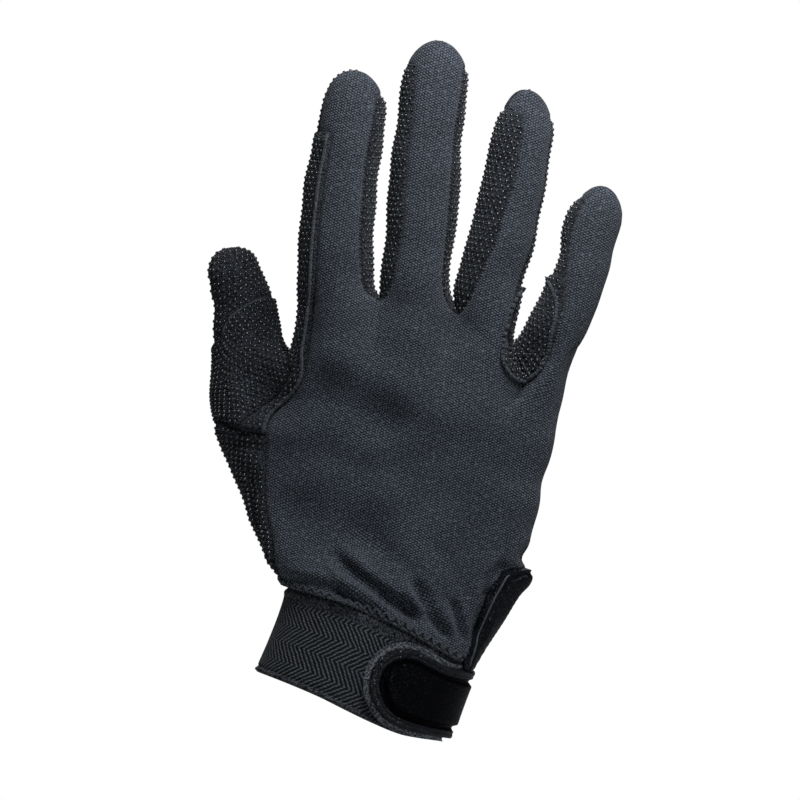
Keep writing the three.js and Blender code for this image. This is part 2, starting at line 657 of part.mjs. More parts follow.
// The cuff's skin: an open band whose ends meet at the little-finger side, under the tab
const cuffColumns = 34;
const cuffRows = [0, 0.3, 0.6, 0.85, 1];
const cuffStart = Math.PI + 0.14;
const cuffEnd = 3 * Math.PI - 0.04;
function cuffPoint(angle, up, proud = 0) {
  const wide = sample(cuffSections, "wide", up);
  const round = Math.abs(Math.sin(angle)) ** boxiness * Math.sign(Math.sin(angle));
  const centre = wristUp.clone().multiplyScalar(up * cuffHeight);
  centre.addScaledVector(wristAcross, -(wristWidth / 2 + proud) * wide * Math.cos(angle));
  centre.y = -(wristDepth / 2 + proud) * round;
  centre.addScaledVector(wristUp, -droopAt(angle, up));
  return centre;
}
function gridSkin(rows, columns, place) {
  const grid = { points: [], faces: [] };
  for (let r = 0; r <= rows; r++) {
    for (let c = 0; c <= columns; c++) grid.points.push(place(c / columns, r / rows, c, r));
  }
  const id = (r, c) => r * (columns + 1) + c;
  for (let r = 0; r < rows; r++) {
    for (let c = 0; c < columns; c++) {
      grid.faces.push({ corners: [id(r, c), id(r, c + 1), id(r + 1, c + 1), id(r + 1, c)] });
    }
  }
  grid.normals = outward(grid.points, grid.faces);
  return grid;
}
const cuff = gridSkin(cuffRows.length - 1, cuffColumns, (across, up, c, r) =>
  cuffPoint(mix(cuffStart, cuffEnd, across), cuffRows[r]),
);

// Closure tab: a strap with a round end that lies on the back of the cuff and runs round the
// little-finger side to the palm, where it is sewn. Its face has a welted rim, a groove and a raised pad.
const tabFree = 2 * Math.PI + backAngle(0.55); // the round end's tip
const tabSewn = 3 * Math.PI + 0.62;
const tabLow = stitchMargin / cuffHeight;
const tabHigh = (stitchMargin + tabHeight) / cuffHeight;
const tabRadius = tabHeight / 2;
const tabReach = (tabSewn - tabFree) * ((wristWidth + wristDepth) / 4);
function tabSkin(margin, proud, columns, rows) {
  return gridSkin(rows, columns, (across, up) => {
    const height = mix(-tabRadius - margin, tabRadius + margin, smooth(up) * 0.35 + up * 0.65);
    const reach = tabRadius + margin;
    const inset = reach - Math.sqrt(Math.max(0, reach * reach - height * height));
    const start = inset - margin;
    const alongTab = mix(start, tabReach, across ** 1.25);
    const angle = tabFree + (alongTab / tabReach) * (tabSewn - tabFree);
    const level = mix(tabLow, tabHigh, 0.5 + height / tabHeight);
    const p = cuffPoint(angle, Math.min(1.06, Math.max(-0.04, level)), proud);
    p.edge = Math.min(tabRadius - Math.abs(height), alongTab - start);
    return p;
  });
}
const hookBase = 0.8;
const tabBase = hookBase + hookWall + seamGap;
const hook = tabSkin(hookMargin, 0, 8, 8);
const tab = tabSkin(0, 0, 16, 12);
const tabHeightAt = (id) => {
  const edge = tab.points[id].edge;
  const groove = smooth((edge - rimWidth * 0.6) / (rimWidth * 0.4));
  const pad = smooth((edge - rimWidth - grooveWidth / 2) / (grooveWidth * 1.4));
  return mix(mix(tabRim, tabGroove, groove), tabPad, pad);
};
const hookEnd = 0.55; // share of the tab's length that the hook fastener backs
const hookFaces = hook.faces.filter((f, k) => (k % 8) / 8 < hookEnd);

// Materials: colour, roughness and metalness of each cloth
const knit = new THREE.MeshStandardMaterial({ color: 0x2b2f36, roughness: 0.95, metalness: 0 });
const grip = new THREE.MeshStandardMaterial({ color: 0x1b1d21, roughness: 0.8, metalness: 0 });
const elastic = new THREE.MeshStandardMaterial({ color: 0x1d2123, roughness: 0.9, metalness: 0 });
const leather = new THREE.MeshStandardMaterial({ color: 0x0e1014, roughness: 0.5, metalness: 0 });
const hookCloth = new THREE.MeshStandardMaterial({ color: 0x26292c, roughness: 1, metalness: 0 });

const glove = new THREE.Group();
function addPiece(name, geometry, material) {
  const mesh = new THREE.Mesh(geometry, material);
  mesh.name = name;
  glove.add(mesh);
}

addPiece("back_panel", wall(skin, facesOf("back"), -knitWall, 0), knit);
addPiece("palm_panel", wall(skin, facesOf("palm"), -gripWall, 0), grip);
addPiece("side_strip_index_middle", wall(skin, facesOf("fork0"), -gripWall, 0), grip);
addPiece("side_strip_middle_ring", wall(skin, facesOf("fork1"), -gripWall, 0), grip);
addPiece("side_strip_ring_little", wall(skin, facesOf("fork2"), -gripWall, 0), grip);
addPiece("thumb_panel", wall(skin, facesOf("thumb"), -gripWall, 0, seamGap), grip);
const patch = (test) => wall(skin, faces.filter(test), patchBase, patchBase + patchWall, patchInset);
addPiece("index_patch", patch(isIndexPatch), grip);
addPiece("fork_patch", patch(isForkPatch), grip);
addPiece("thumb_patch", patch(isThumbPatch), grip);
addPiece("slit_binding", wall(skin, faces.filter(isBinding), -bindingWall / 2, bindingWall / 2), leather);
addPiece("cuff_band", wall(cuff, cuff.faces, -elasticWall, 0), elastic);
addPiece("hook_fastener", wall(hook, hookFaces, hookBase, hookBase + hookWall), hookCloth);
addPiece("closure_tab", wall(tab, tab.faces, tabBase, tabBase, 0, tabHeightAt), leather);

export default glove;
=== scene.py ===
# %% [markdown]
# # A riding glove in knit, grip fabric, elastic and leather
# The glove's real pieces are flat cuts of thin cloth, sewn edge to edge and filled by a hand. In Blender
# they could be one body with painted seams, but then every seam would look drawn. Here each cut is a
# piece of its own, and all of them are cut out of one shared skin, so that they meet exactly.

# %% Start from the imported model
import math

import bpy
import numpy as np
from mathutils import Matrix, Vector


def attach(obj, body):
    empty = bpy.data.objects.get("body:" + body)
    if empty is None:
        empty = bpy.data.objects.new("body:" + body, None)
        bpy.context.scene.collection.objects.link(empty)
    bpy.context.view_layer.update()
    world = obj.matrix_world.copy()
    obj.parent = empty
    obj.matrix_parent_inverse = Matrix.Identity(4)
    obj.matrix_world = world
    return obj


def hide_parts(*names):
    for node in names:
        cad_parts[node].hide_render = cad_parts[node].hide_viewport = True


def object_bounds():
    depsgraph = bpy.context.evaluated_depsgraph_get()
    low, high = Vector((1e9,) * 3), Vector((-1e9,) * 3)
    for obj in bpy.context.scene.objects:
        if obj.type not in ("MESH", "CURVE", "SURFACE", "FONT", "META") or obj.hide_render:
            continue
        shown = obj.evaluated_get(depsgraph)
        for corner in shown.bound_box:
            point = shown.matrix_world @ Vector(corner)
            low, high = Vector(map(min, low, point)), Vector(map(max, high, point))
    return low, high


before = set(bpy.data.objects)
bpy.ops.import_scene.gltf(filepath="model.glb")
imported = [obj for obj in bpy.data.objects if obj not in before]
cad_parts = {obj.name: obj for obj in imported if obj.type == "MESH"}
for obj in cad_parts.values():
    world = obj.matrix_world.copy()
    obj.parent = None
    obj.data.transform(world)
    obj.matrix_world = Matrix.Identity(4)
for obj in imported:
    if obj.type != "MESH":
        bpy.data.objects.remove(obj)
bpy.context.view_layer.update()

# %% [markdown]
# ## Camera and light
# The photograph looks straight at the back of the hand, level, from far away. A camera without
# perspective gives that view exactly: its scale says how many metres the picture's side covers. Soft
# light comes from big area lamps, because a small lamp would make hard edges on black cloth. The sky is
# white where the camera sees it, and dim as a light, or its reflection would turn the black cloth grey.

# %% Camera
picture_side, camera_distance = 0.252, 1.5
centre = np.array([0.01663, 0.0, 0.09639])

camera_data = bpy.data.cameras.new("camera")
camera_data.type = "ORTHO"
camera_data.ortho_scale = picture_side
camera_data.clip_end = 20.0
camera = bpy.data.objects.new("camera", camera_data)
camera.location = (centre[0], -camera_distance, centre[2])
camera.rotation_euler = (math.radians(90), 0, 0)
bpy.context.collection.objects.link(camera)
bpy.context.scene.camera = camera
print("picture covers", picture_side, "m")


# %% Helpers for shader nodes
def add(tree, kind, inputs=(), **settings):
    """Adds a node, with its settings, and gives its inputs a number or another node's output."""
    made = tree.nodes.new(kind)
    for key, value in settings.items():
        setattr(made, key, value)
    for key, value in dict(inputs).items():
        if isinstance(value, bpy.types.NodeSocket):
            tree.links.new(value, made.inputs[key])
        else:
            made.inputs[key].default_value = value
    return made


def calc(tree, operation, *values):
    """The output of a Math node."""
    return add(tree, "ShaderNodeMath", enumerate(values), operation=operation).outputs[0]


print("node helpers ready")


# %% Lamps and sky
def lamp(name, place, side, power):
    """A square area lamp of cool white whose light falls towards the glove's middle."""
    data = bpy.data.lights.new(name, "AREA")
    data.shape = "SQUARE"
    data.size = side
    data.energy = power
    data.color = (0.94, 0.98, 1.04)
    thing = bpy.data.objects.new(name, data)
    thing.location = place
    away = thing.location - type(thing.location)(centre)
    thing.rotation_euler = away.to_track_quat("Z", "Y").to_euler()
    bpy.context.collection.objects.link(thing)


lamp("lamp_front", (0.11, -0.16, 0.37), 0.18, 0.98)
lamp("lamp_left", (-0.8, -0.25, 0.35), 0.5, 0.22)
lamp("lamp_right", (0.85, -0.15, 0.45), 0.5, 0.5)
lamp("lamp_behind", (0.0, 0.9, 0.7), 0.8, 2)

sky_seen, sky_glow = 0.99, 0.014
world = bpy.data.worlds.new("studio")
world.use_nodes = True
bpy.context.scene.world = world
tree = world.node_tree
sky = tree.nodes["Background"]
sky.inputs["Color"].default_value = (1, 1, 1, 1)
seen = add(tree, "ShaderNodeLightPath").outputs["Is Camera Ray"]
tree.links.new(calc(tree, "MULTIPLY_ADD", seen, sky_seen, sky_glow), sky.inputs["Strength"])
bpy.context.scene.view_settings.view_transform = "Standard"

# %% [markdown]
# ## Sizes
# These are the sizes that the solid model was drawn from, in millimetres. They are repeated here, so that
# every cloth piece comes from the same hand. A table gives the hand's sections from the wrist to the
# forks, and more tables those of each finger. Between two rows a smooth curve fills in.

# %% Driving sizes
palm_breadth = 90.0
palm_length = 93.0
wrist_width = 62.4
wrist_depth = 43.0
cuff_height = 28.1
cuff_lean = math.radians(21)
cuff_seam = 0.7
palm_overhang = 2.0
thenar_bulge = 7.0
vent_bulge = 3.0
dome_share = 0.3
fork_blend = 0.2
boxiness = 0.84
ulnar_palm_seam = 0.94
front_seam = 0.8
# a bulge's middle and reach, across or up the palm, as shares of its width or length
ball_across, ball_up, push_up = (0.22, 0.17), (0.36, 0.2), (0.25, 0.08)
# a finger's depth at its base and its tip, as shares of its own depth
finger_taper, thumb_taper = (1.08, 0.9), (1.0, 0.86)
# how far from the hand's middle the forks' ends lie, as shares of a finger's depth
fork_ends = {"back": 0.26, "front": 0.3}

finger_names = ["index", "middle", "ring", "little"]
fingers = {
    "index": dict(length=73, width=22.7, depth=18.2, lean=4.2, curl=7, across=-0.1457, up=1.084),
    "middle": dict(length=82.4, width=22.1, depth=18.4, lean=4.9, curl=6, across=0.1293, up=1.084),
    "ring": dict(length=72.8, width=20.8, depth=17.4, lean=11, curl=7, across=0.3683, up=1.029),
    "little": dict(length=54.5, width=19.2, depth=15.6, lean=17.7, curl=8, across=0.6073, up=0.913),
}
thumb = dict(length=47, width=21.7, depth=18.8, lean=-7.1, across=-0.4537, up=0.762)
thumb_root_depth, thumb_tip_depth = 13.0, 25.0
tip_start = {"index": 0.8, "middle": 0.82, "ring": 0.82, "little": 0.8, "thumb": 0.8}
print("fingers:", {name: f["length"] for name, f in fingers.items()})


# %% Tables of sections
def table(columns, rows):
    """A table's columns by name, each as an array."""
    return dict(zip(columns.split(), np.array(rows, float).T))


palm = table("at across half lean drop back front seam palm_seam end_seam", [
    [0.0, 0.0, 0.378, 21, 0.0, 0.51, 0.51, 0.012, 0.08, 0.944],
    [0.1, 0.0033, 0.433, 17.5, 0.03, 0.46, 0.46, 0.042, 0.09, 0.915],
    [0.22, 0.0153, 0.483, 14.3, 0.09, 0.41, 0.42, 0.062, 0.1, 0.91],
    [0.35, 0.0113, 0.52, 12.4, 0.18, 0.38, 0.4, 0.091, 0.13, 0.965],
    [0.5, -0.0017, 0.569, 10.5, 0.26, 0.37, 0.39, 0.142, 0.17, 0.985],
    [0.57, 0.0008, 0.5775, 10.5, 0.24, 0.36, 0.38, 0.15, 0.18, 0.985],
    [0.62, 0.0723, 0.524, 10.6, 0.19, 0.355, 0.375, 0.068, 0.19, 0.985],
    [0.67, 0.1143, 0.496, 11.2, 0.14, 0.35, 0.37, 0.057, 0.2, 0.985],
    [0.72, 0.1318, 0.4915, 11.6, 0.09, 0.34, 0.36, 0.073, 0.19, 0.985],
    [0.8, 0.1568, 0.4815, 10.7, 0.04, 0.31, 0.32, 0.059, 0.12, 0.985],
    [0.9, 0.1813, 0.481, 9.7, 0.01, 0.27, 0.28, 0.049, 0.07, 0.985],
    [1.0, 0.2073, 0.492, 9.0, 0.0, 0.24, 0.25, 0.045, 0.05, 0.985],
])

forks = table("share across up crest_across crest_up", [
    [0.297, 0.0053, 1.084, 0.0053, 1.095],
    [0.569, 0.2743, 1.036, 0.2643, 1.075],
    [0.8, 0.5083, 0.815, 0.4513, 0.915],
])
print("palm sections:", len(palm["at"]))

# %% Tables of the fingers and the thumb
finger_columns = "at shift wide seam_left seam_right"
finger_tables = {
    "index": table(finger_columns, [
        [0, -0.028, 1.03, -0.62, 0.75],
        [0.25, -0.064, 0.991, -0.6, 0.63],
        [0.5, -0.054, 0.963, -0.58, 0.6],
        [0.66, -0.015, 0.921, -0.58, 0.58],
        [0.8, 0.015, 0.907, -0.64, 0.64],
        [0.9, 0.006, 0.888, -0.75, 0.78],
        [1, 0, 0.92, -0.8, 0.8],
    ]),
    "middle": table(finger_columns, [
        [0, -0.035, 1, -0.75, 0.8],
        [0.12, -0.051, 0.962, -0.65, 0.83],
        [0.24, -0.033, 0.962, -0.58, 0.8],
        [0.39, -0.038, 1.018, -0.57, 0.76],
        [0.54, -0.051, 0.975, -0.56, 0.81],
        [0.66, -0.038, 0.932, -0.58, 0.82],
        [0.82, -0.011, 0.946, -0.68, 0.85],
        [1, 0, 0.95, -0.8, 0.88],
    ]),
    "ring": table(finger_columns, [
        [0, -0.082, 0.885, -0.62, 0.8],
        [0.1, -0.065, 0.986, -0.38, 0.9],
        [0.21, -0.038, 0.976, -0.24, 0.95],
        [0.34, 0.014, 1, -0.14, 0.97],
        [0.47, 0.023, 0.959, -0.07, 0.98],
        [0.6, 0.041, 0.957, 0.02, 0.98],
        [0.74, 0.031, 0.913, 0.04, 0.98],
        [0.84, 0.04, 0.888, -0.02, 0.97],
        [0.93, 0.032, 0.823, -0.22, 0.95],
        [1, 0, 0.83, -0.3, 0.9],
    ]),
    "little": table(finger_columns, [
        [0, -0.104, 0.938, 0.1, 0.9],
        [0.08, -0.066, 0.919, 0.08, 0.92],
        [0.19, -0.02, 0.935, -0.08, 0.94],
        [0.31, 0.026, 0.901, -0.24, 0.95],
        [0.43, 0.042, 0.87, -0.5, 0.95],
        [0.55, 0.044, 0.875, -0.68, 0.95],
        [0.67, -0.009, 0.898, -0.68, 0.95],
        [0.8, -0.016, 0.917, -0.65, 0.95],
        [0.9, 0.007, 0.839, -0.68, 0.92],
        [1, 0, 0.78, -0.7, 0.9],
    ]),
}
thumb_table = table("at shift wide", [
    [0, -0.03, 1.0],
    [0.17, 0, 1.0],
    [0.36, 0.055, 0.968],
    [0.5, 0.04, 0.924],
    [0.64, 0.074, 0.857],
    [0.71, 0.052, 0.836],
    [0.78, 0.026, 0.776],
    [0.85, -0.013, 0.773],
    [0.92, -0.009, 0.824],
    [1, 0, 0.95],
])
print("finger tables:", len(finger_tables))

# %% Tables of the cuff, and the creases
cuff_table = table("at wide", [[0, 1.0], [0.3, 0.985], [0.6, 0.98], [0.85, 0.985], [1, 1.0]])
cuff_droop = table("at mouth seam", [
    [-1, 0, 0], [-0.65, 0.005, -0.04], [-0.3, 0.02, -0.064], [0, 0.052, -0.053],
    [0.3, 0.078, -0.018], [0.6, 0.085, 0.043], [0.8, 0.05, 0.07], [1, 0, 0.02],
])
# from across, from up, to across, to up (shares of the palm), depth and width in mm
creases = np.array([
    [0.93, 0.03, 0.42, 0.27, 1.50, 8],
    [0.86, 0.01, 0.3, 0.13, 1.35, 8],
    [0.95, 0.06, 0.66, 0.3, 0.90, 8],
    [0.99, 0.16, 0.9, 0.36, 0.90, 8],
])
print("creases:", len(creases))


# %% Reading a table
def mix(a, b, t):
    """From a to b by the share t."""
    return a + (b - a) * t


def smooth(t):
    """0 below 0, 1 above 1, and an S curve between them."""
    c = np.clip(t, 0, 1)
    return c * c * (3 - 2 * c)


def bump(value, middle, reach):
    """A bell of height 1 at the middle."""
    return np.exp(-(((value - middle) / reach) ** 2))


def quarter_round(distance, reach):
    """0 at an edge and 1 from its reach inwards, along a quarter circle."""
    return np.sqrt(1 - (1 - np.clip(distance / reach, 0, 1)) ** 2)


def sample(rows, column, at):
    """A table's column at any place, on a cubic curve whose slopes come from the rows on both sides."""
    x, y = rows["at"], rows[column]
    i = np.searchsorted(x[1:-1], at, side="left")
    before = np.maximum(np.arange(len(x)) - 1, 0)
    after = np.minimum(np.arange(len(x)) + 1, len(x) - 1)
    slope = (y[after] - y[before]) / (x[after] - x[before])
    span = x[i + 1] - x[i]
    t = np.clip((at - x[i]) / span, 0, 1)
    t2, t3 = t * t, t * t * t
    return (
        (2 * t3 - 3 * t2 + 1) * y[i]
        + (t3 - 2 * t2 + t) * span * slope[i]
        + (3 * t2 - 2 * t3) * y[i + 1]
        + (t3 - t2) * span * slope[i + 1]
    )


print("half width halfway up the palm:", round(float(sample(palm, "half", 0.5)) * palm_breadth, 1), "mm")

# %% [markdown]
# ## The skin of the hand
# The palm is a tube of oval rings that leans from the wrist to the forks. At its upper end the ring is
# pinched between the fingers, and each part of it carries on as one finger's tube. The thumb starts from
# a hole in the palm's side. A point of a tube is a function of two numbers, the angle round the hand and
# the height, so numpy can work out whole grids at once.

# %% Angles round the hand, and the cuff's sag
wrist_up = np.array([math.sin(cuff_lean), 0, math.cos(cuff_lean)])
wrist_across = np.array([math.cos(cuff_lean), 0, -math.sin(cuff_lean)])
wrist_centre = wrist_up * (cuff_height + cuff_seam)


def stack(x, y, z):
    """Points from their three coordinates."""
    return np.stack(np.broadcast_arrays(x, y, z), axis=-1)


def back_angle(share):
    """Angle on the back half of a ring at a share of its width."""
    return np.arccos(1 - 2 * share)


def front_angle(share):
    """The same on the palm's half, which runs back from 2 pi to pi."""
    return 2 * np.pi - np.arccos(1 - 2 * share)


def droop(angle, up):
    """How far the cuff sags at an angle and a height, in mm: a table read by the place across the back."""
    across = -np.cos(angle)
    fade = smooth(np.sin(angle) * 2.5 + 0.5)
    sag = mix(sample(cuff_droop, "mouth", across), sample(cuff_droop, "seam", across), up)
    return cuff_height * np.where(np.sin(angle) > 0, sag, sag * fade)


print("middle of the cuff's seam in mm:", wrist_centre.round(1))


# %% The palm's tube
def crease_depth(share, up):
    """Depth of the back's creases in mm: a bell-shaped valley along each line, faded at its ends."""
    depth = np.zeros(np.broadcast(share, up).shape)
    for from_across, from_up, to_across, to_up, deep, wide in creases:
        dx, dz = (to_across - from_across) * palm_breadth, (to_up - from_up) * palm_length
        px, pz = (share - from_across) * palm_breadth, (up - from_up) * palm_length
        along = (px * dx + pz * dz) / (dx * dx + dz * dz)
        off = (px * dz - pz * dx) / math.hypot(dx, dz)
        ends = smooth((along + 0.1) * 4) * smooth((1.15 - along) * 3)
        depth += deep * ends * bump(off, 0, wide / 2)
    return depth


def palm_tube(angle, up):
    """Points of the palm: an oval whose width, depth, place and lean are read from the table at each height,
    with the ball of the thumb, the pushed-out wrist slit and the creases added."""
    lean = np.radians(sample(palm, "lean", up))
    to_wrist = wrist_width / 2 + palm_overhang - palm["half"][0] * palm_breadth
    half = sample(palm, "half", up) * palm_breadth + to_wrist * np.maximum(0, 1 - up / 0.35) ** 2
    u = -np.cos(angle)
    share = (1 + u) / 2
    round_ = np.abs(np.sin(angle)) ** boxiness
    ball = thenar_bulge * bump(share, *ball_across) * bump(up, *ball_up)
    push = vent_bulge * np.maximum(0, u) ** 8 * bump(up, *push_up)
    crease = crease_depth(share, up) * smooth(round_ * 3)
    back = -sample(palm, "back", up) * wrist_depth * round_ + crease
    front = (sample(palm, "front", up) * wrist_depth + ball) * round_
    depth = sample(palm, "drop", up) * wrist_depth * (1 - share) + np.where(np.sin(angle) >= 0, back, front)
    x = wrist_centre[0] + sample(palm, "across", up) * palm_breadth + (half * u + push) * np.cos(lean)
    z = wrist_centre[2] + up * palm_length - half * u * np.sin(lean)
    z = z - droop(angle, 1.0) * smooth(1 - up / 0.3)
    return stack(x, depth, z)


def on_palm(across, up):
    """A place given in shares of palm breadth and length."""
    return np.array([wrist_centre[0] + across * palm_breadth, 0, wrist_centre[2] + up * palm_length])


print("top of the wrist slit:", palm_tube(np.array(np.pi), np.array(0.29)).round(1))

# %% The rings' columns
face_steps, side_steps = 22, 18
even_share = np.arange(face_steps + 1) / face_steps
face_shares = even_share - 0.1 * np.sin(2 * np.pi * even_share)
side_shares = np.arange(side_steps + 1) / side_steps
column_shares = {face_steps: face_shares, side_steps: side_shares}


def spread(stops, counts):
    """A ring's angles: each stretch between two stops is split into its columns, in a face closer together
    near its seams."""
    parts = []
    for i, count in enumerate(counts):
        parts.append(mix(stops[..., i, None], stops[..., i + 1, None], column_shares[count][:-1]))
    return np.concatenate(parts, axis=-1)


back_columns = 4 * face_steps
front_start = back_columns + side_steps
thumb_side = front_start + back_columns
ring_columns = thumb_side + side_steps
palm_counts = [face_steps] * 4 + [side_steps] + [face_steps] * 4 + [side_steps]


def palm_angles(up):
    """Angles of the palm's columns at each height: back, little-finger side, front and thumb side."""
    even = np.ones_like(up)
    inner = [even * share for share in forks["share"]]
    on_back = [sample(palm, "seam", up), *inner, sample(palm, "end_seam", up)]
    on_front = [even * ulnar_palm_seam, *inner[::-1], sample(palm, "palm_seam", up)]
    stops = [back_angle(s) for s in on_back] + [front_angle(s) for s in on_front]
    stops.append(stops[0] + 2 * np.pi)
    return spread(np.stack(stops, axis=-1), palm_counts)


print("columns round the palm:", ring_columns)


# %% The fork line and the palm's grid
def fork_line():
    """The palm's last ring and its plain tube's: its points move to the forks' places, and each finger's
    share of it domes out, on the back and on the front."""
    angles = palm_angles(np.array([1.0]))[0]
    tube = palm_tube(angles, np.ones_like(angles))
    line = tube.copy()
    for side, sign, start, angle_at in (("back", -1, "", back_angle), ("front", 1, "crest_", front_angle)):
        move = np.zeros((5, 3))
        for k, share in enumerate(forks["share"]):
            goal = on_palm(forks[start + "across"][k], forks[start + "up"][k])
            move[k + 1] = (goal - palm_tube(angle_at(share), np.array(1.0))) * [1, 0, 1]
        for i, name in enumerate(finger_names):
            depth = sign * fingers[name]["depth"]
            steps = i * face_steps + np.arange(face_steps + 1)
            columns = steps if side == "back" else thumb_side - steps
            first = tube[columns[0], 1] if i == 0 else fork_ends[side] * depth
            last = tube[columns[-1], 1] if i == 3 else fork_ends[side] * depth
            line[columns] = tube[columns] + mix(move[i], move[i + 1], face_shares[:, None])
            dome = dome_share * depth * np.sin(np.pi * face_shares)
            line[columns, 1] = mix(first, last, face_shares) + dome
    return line, tube


slit_top, hole_low, hole_high = 0.29, 0.56, 0.79
palm_rows = np.concatenate([
    np.linspace(0, slit_top, 34)[:-1],
    np.linspace(slit_top, hole_low, 30)[:-1],
    np.linspace(hole_low, hole_high, 27)[:-1],
    np.linspace(hole_high, 1, 26),
])
slit_row, low_row, high_row = (int(np.argmin(abs(palm_rows - v))) for v in (slit_top, hole_low, hole_high))
fork_ring, tube_end = fork_line()
palm_grid = palm_tube(palm_angles(palm_rows), palm_rows[:, None])
palm_grid += (fork_ring - tube_end) * smooth((palm_rows - 0.7) / 0.3)[:, None, None]
print("palm grid:", palm_grid.shape, "slit, hole rows:", slit_row, low_row, high_row)

# %% The webs between the fingers
# how many times sooner than at its last step a web reaches its crest
crest_speed = 1.6
webs = []
for k in range(3):
    column = (k + 1) * face_steps
    start, end = palm_grid[-1, column], palm_grid[-1, thumb_side - column]
    crest = on_palm(forks["crest_across"][k], forks["crest_up"][k])
    t = side_shares[:, None]
    rise = np.sin(np.minimum(1, t * crest_speed) * np.pi / 2)
    web = mix(start, crest, rise)
    web[:, 1] = mix(start[1], end[1], t[:, 0])
    web[-1] = end
    webs.append(web)
print("webs:", len(webs), "of", len(webs[0]), "points")


# %% Where a finger's rows and columns lie
def finger_rows(start):
    """Heights along a finger: even steps, then closer and closer round the tip's quarter circle."""
    straight = np.linspace(0, start, 62)
    past = np.sin(np.linspace(0, np.pi / 2, 26)[1:-1])
    return np.concatenate([straight, start + (1 - start) * past])


def tip_round(at, start):
    """Width near a tip as a quarter ellipse."""
    return np.sqrt(np.maximum(0, 1 - np.maximum(0, (at - start) / (1 - start)) ** 2))


finger_counts = [face_steps, side_steps, face_steps, side_steps]
# a finger's first column on its right side, its front and its left side
finger_right, finger_front, finger_left = face_steps, face_steps + side_steps, 2 * face_steps + side_steps
# powers that say how soon a line near a seam leaves the fork ring, in all and sideways
seam_speed, side_speed = 3, 7
in_face = np.concatenate([face_shares[:-1], -np.ones(side_steps)] * 2)
edge_share = np.where(in_face < 0, 1, np.cos(np.pi * in_face) ** 2)


def base_of(i, top, webs):
    """The loop that a finger grows from: its share of the palm's last ring and a web on each side."""
    right = webs[i] if i < 3 else top[back_columns:front_start + 1]
    left = webs[i - 1][::-1] if i else np.concatenate([top[thumb_side:], top[:1]])
    front = thumb_side - (i + 1) * face_steps
    back = top[i * face_steps:(i + 1) * face_steps]
    return np.concatenate([back, right[:-1], top[front:front + face_steps], left[:-1]])


print("columns round a finger:", sum(finger_counts))


# %% The fingers' grids
def finger_grid(i):
    """A finger: rings of its own oval section, blended with the fork ring that they grow from. Near the
    seams the blend is quick and in a face's middle it is slow, so that the domes run out softly."""
    name = finger_names[i]
    finger, rows = fingers[name], finger_tables[name]
    lean = math.radians(finger["lean"])
    axis = np.array([math.sin(lean), 0, math.cos(lean)])
    side = np.array([math.cos(lean), 0, -math.sin(lean)])
    base = base_of(i, palm_grid[-1], webs)
    at = finger_rows(tip_start[name])[1:, None]
    round_ = tip_round(at, tip_start[name])
    half = finger["width"] / 2 * sample(rows, "wide", at) * round_
    deep = finger["depth"] / 2 * mix(*finger_taper, at) * round_
    middle = on_palm(finger["across"], finger["up"]) + at[..., None] * finger["length"] * axis
    middle = middle + sample(rows, "shift", at)[..., None] * finger["width"] * side
    middle[..., 1] += finger["curl"] * at * at
    seam_left = np.arccos(-sample(rows, "seam_left", at))
    seam_right = np.arccos(-sample(rows, "seam_right", at))
    front_right = np.full_like(at, 2 * np.pi - math.acos(-front_seam))
    front_left = np.full_like(at, 2 * np.pi - math.acos(front_seam))
    stops = [seam_left, seam_right, front_right, front_left, seam_left + 2 * np.pi]
    angle = spread(np.concatenate(stops, axis=-1), finger_counts)
    own = middle - (half * np.cos(angle))[..., None] * side
    own[..., 1] -= deep * np.sin(angle)
    from_base = base + at[..., None] * finger["length"] * axis
    to_own = own - from_base
    t = np.minimum(1, at / fork_blend)
    weight = mix(smooth(t), 1 - (1 - t) ** seam_speed, edge_share)
    side_weight = mix(smooth(t), 1 - (1 - t) ** side_speed, edge_share)
    sideways = (to_own @ side) * (side_weight - weight)
    rings = from_base + to_own * weight[..., None] + sideways[..., None] * side
    tip = on_palm(finger["across"], finger["up"]) + finger["length"] * axis
    tip[1] += finger["curl"]
    return np.concatenate([base[None], rings]), tip


finger_grids, finger_tips = zip(*[finger_grid(i) for i in range(4)])
print("a finger's grid:", finger_grids[0].shape)

# %% The thumb's hole and its tube
hole_first = thumb_side + side_steps // 6
hole_last = ring_columns - side_steps // 6
hole_wide, hole_high_steps = hole_last - hole_first, high_row - low_row


def round_hole(grid):
    """The hole's edge in order: along its lower row, up, back along its upper row, and down."""
    return np.concatenate([
        grid[low_row, hole_first:hole_last],
        grid[low_row:high_row, hole_last],
        grid[high_row, hole_last:hole_first:-1],
        grid[high_row:low_row:-1, hole_first],
    ])


thumb_lean = math.radians(thumb["lean"])
thumb_axis = np.array([math.sin(thumb_lean), 0, math.cos(thumb_lean)])
thumb_across = np.array([math.cos(thumb_lean), 0, -math.sin(thumb_lean)])
thumb_root = on_palm(thumb["across"], thumb["up"]) + np.array([0, thumb_root_depth, 0])
thumb_rise = thumb_tip_depth - thumb_root_depth
web_out, web_reach = np.array([-0.8, 0.6, 0.0]), 4.2
# shares of the thumb's length: how high up a line counts as web, and how soon it rises, has gone
# outwards and has joined the tube
web_share, rise_share, outward_share, join_share = 0.2, 0.3, 0.15, 0.4


def thumb_tube(at, angle):
    """Points of the thumb's own oval tube."""
    round_ = tip_round(at, tip_start["thumb"])
    half = thumb["width"] / 2 * sample(thumb_table, "wide", at) * round_
    deep = thumb["depth"] / 2 * mix(*thumb_taper, at) * round_
    shift = sample(thumb_table, "shift", at) * thumb["width"] - half * np.cos(angle)
    place = thumb_root + at[..., None] * thumb["length"] * thumb_axis + shift[..., None] * thumb_across
    place[..., 1] += thumb_rise * at - deep * np.sin(angle)
    return place


print("the thumb's hole:", hole_wide, "by", hole_high_steps, "faces")


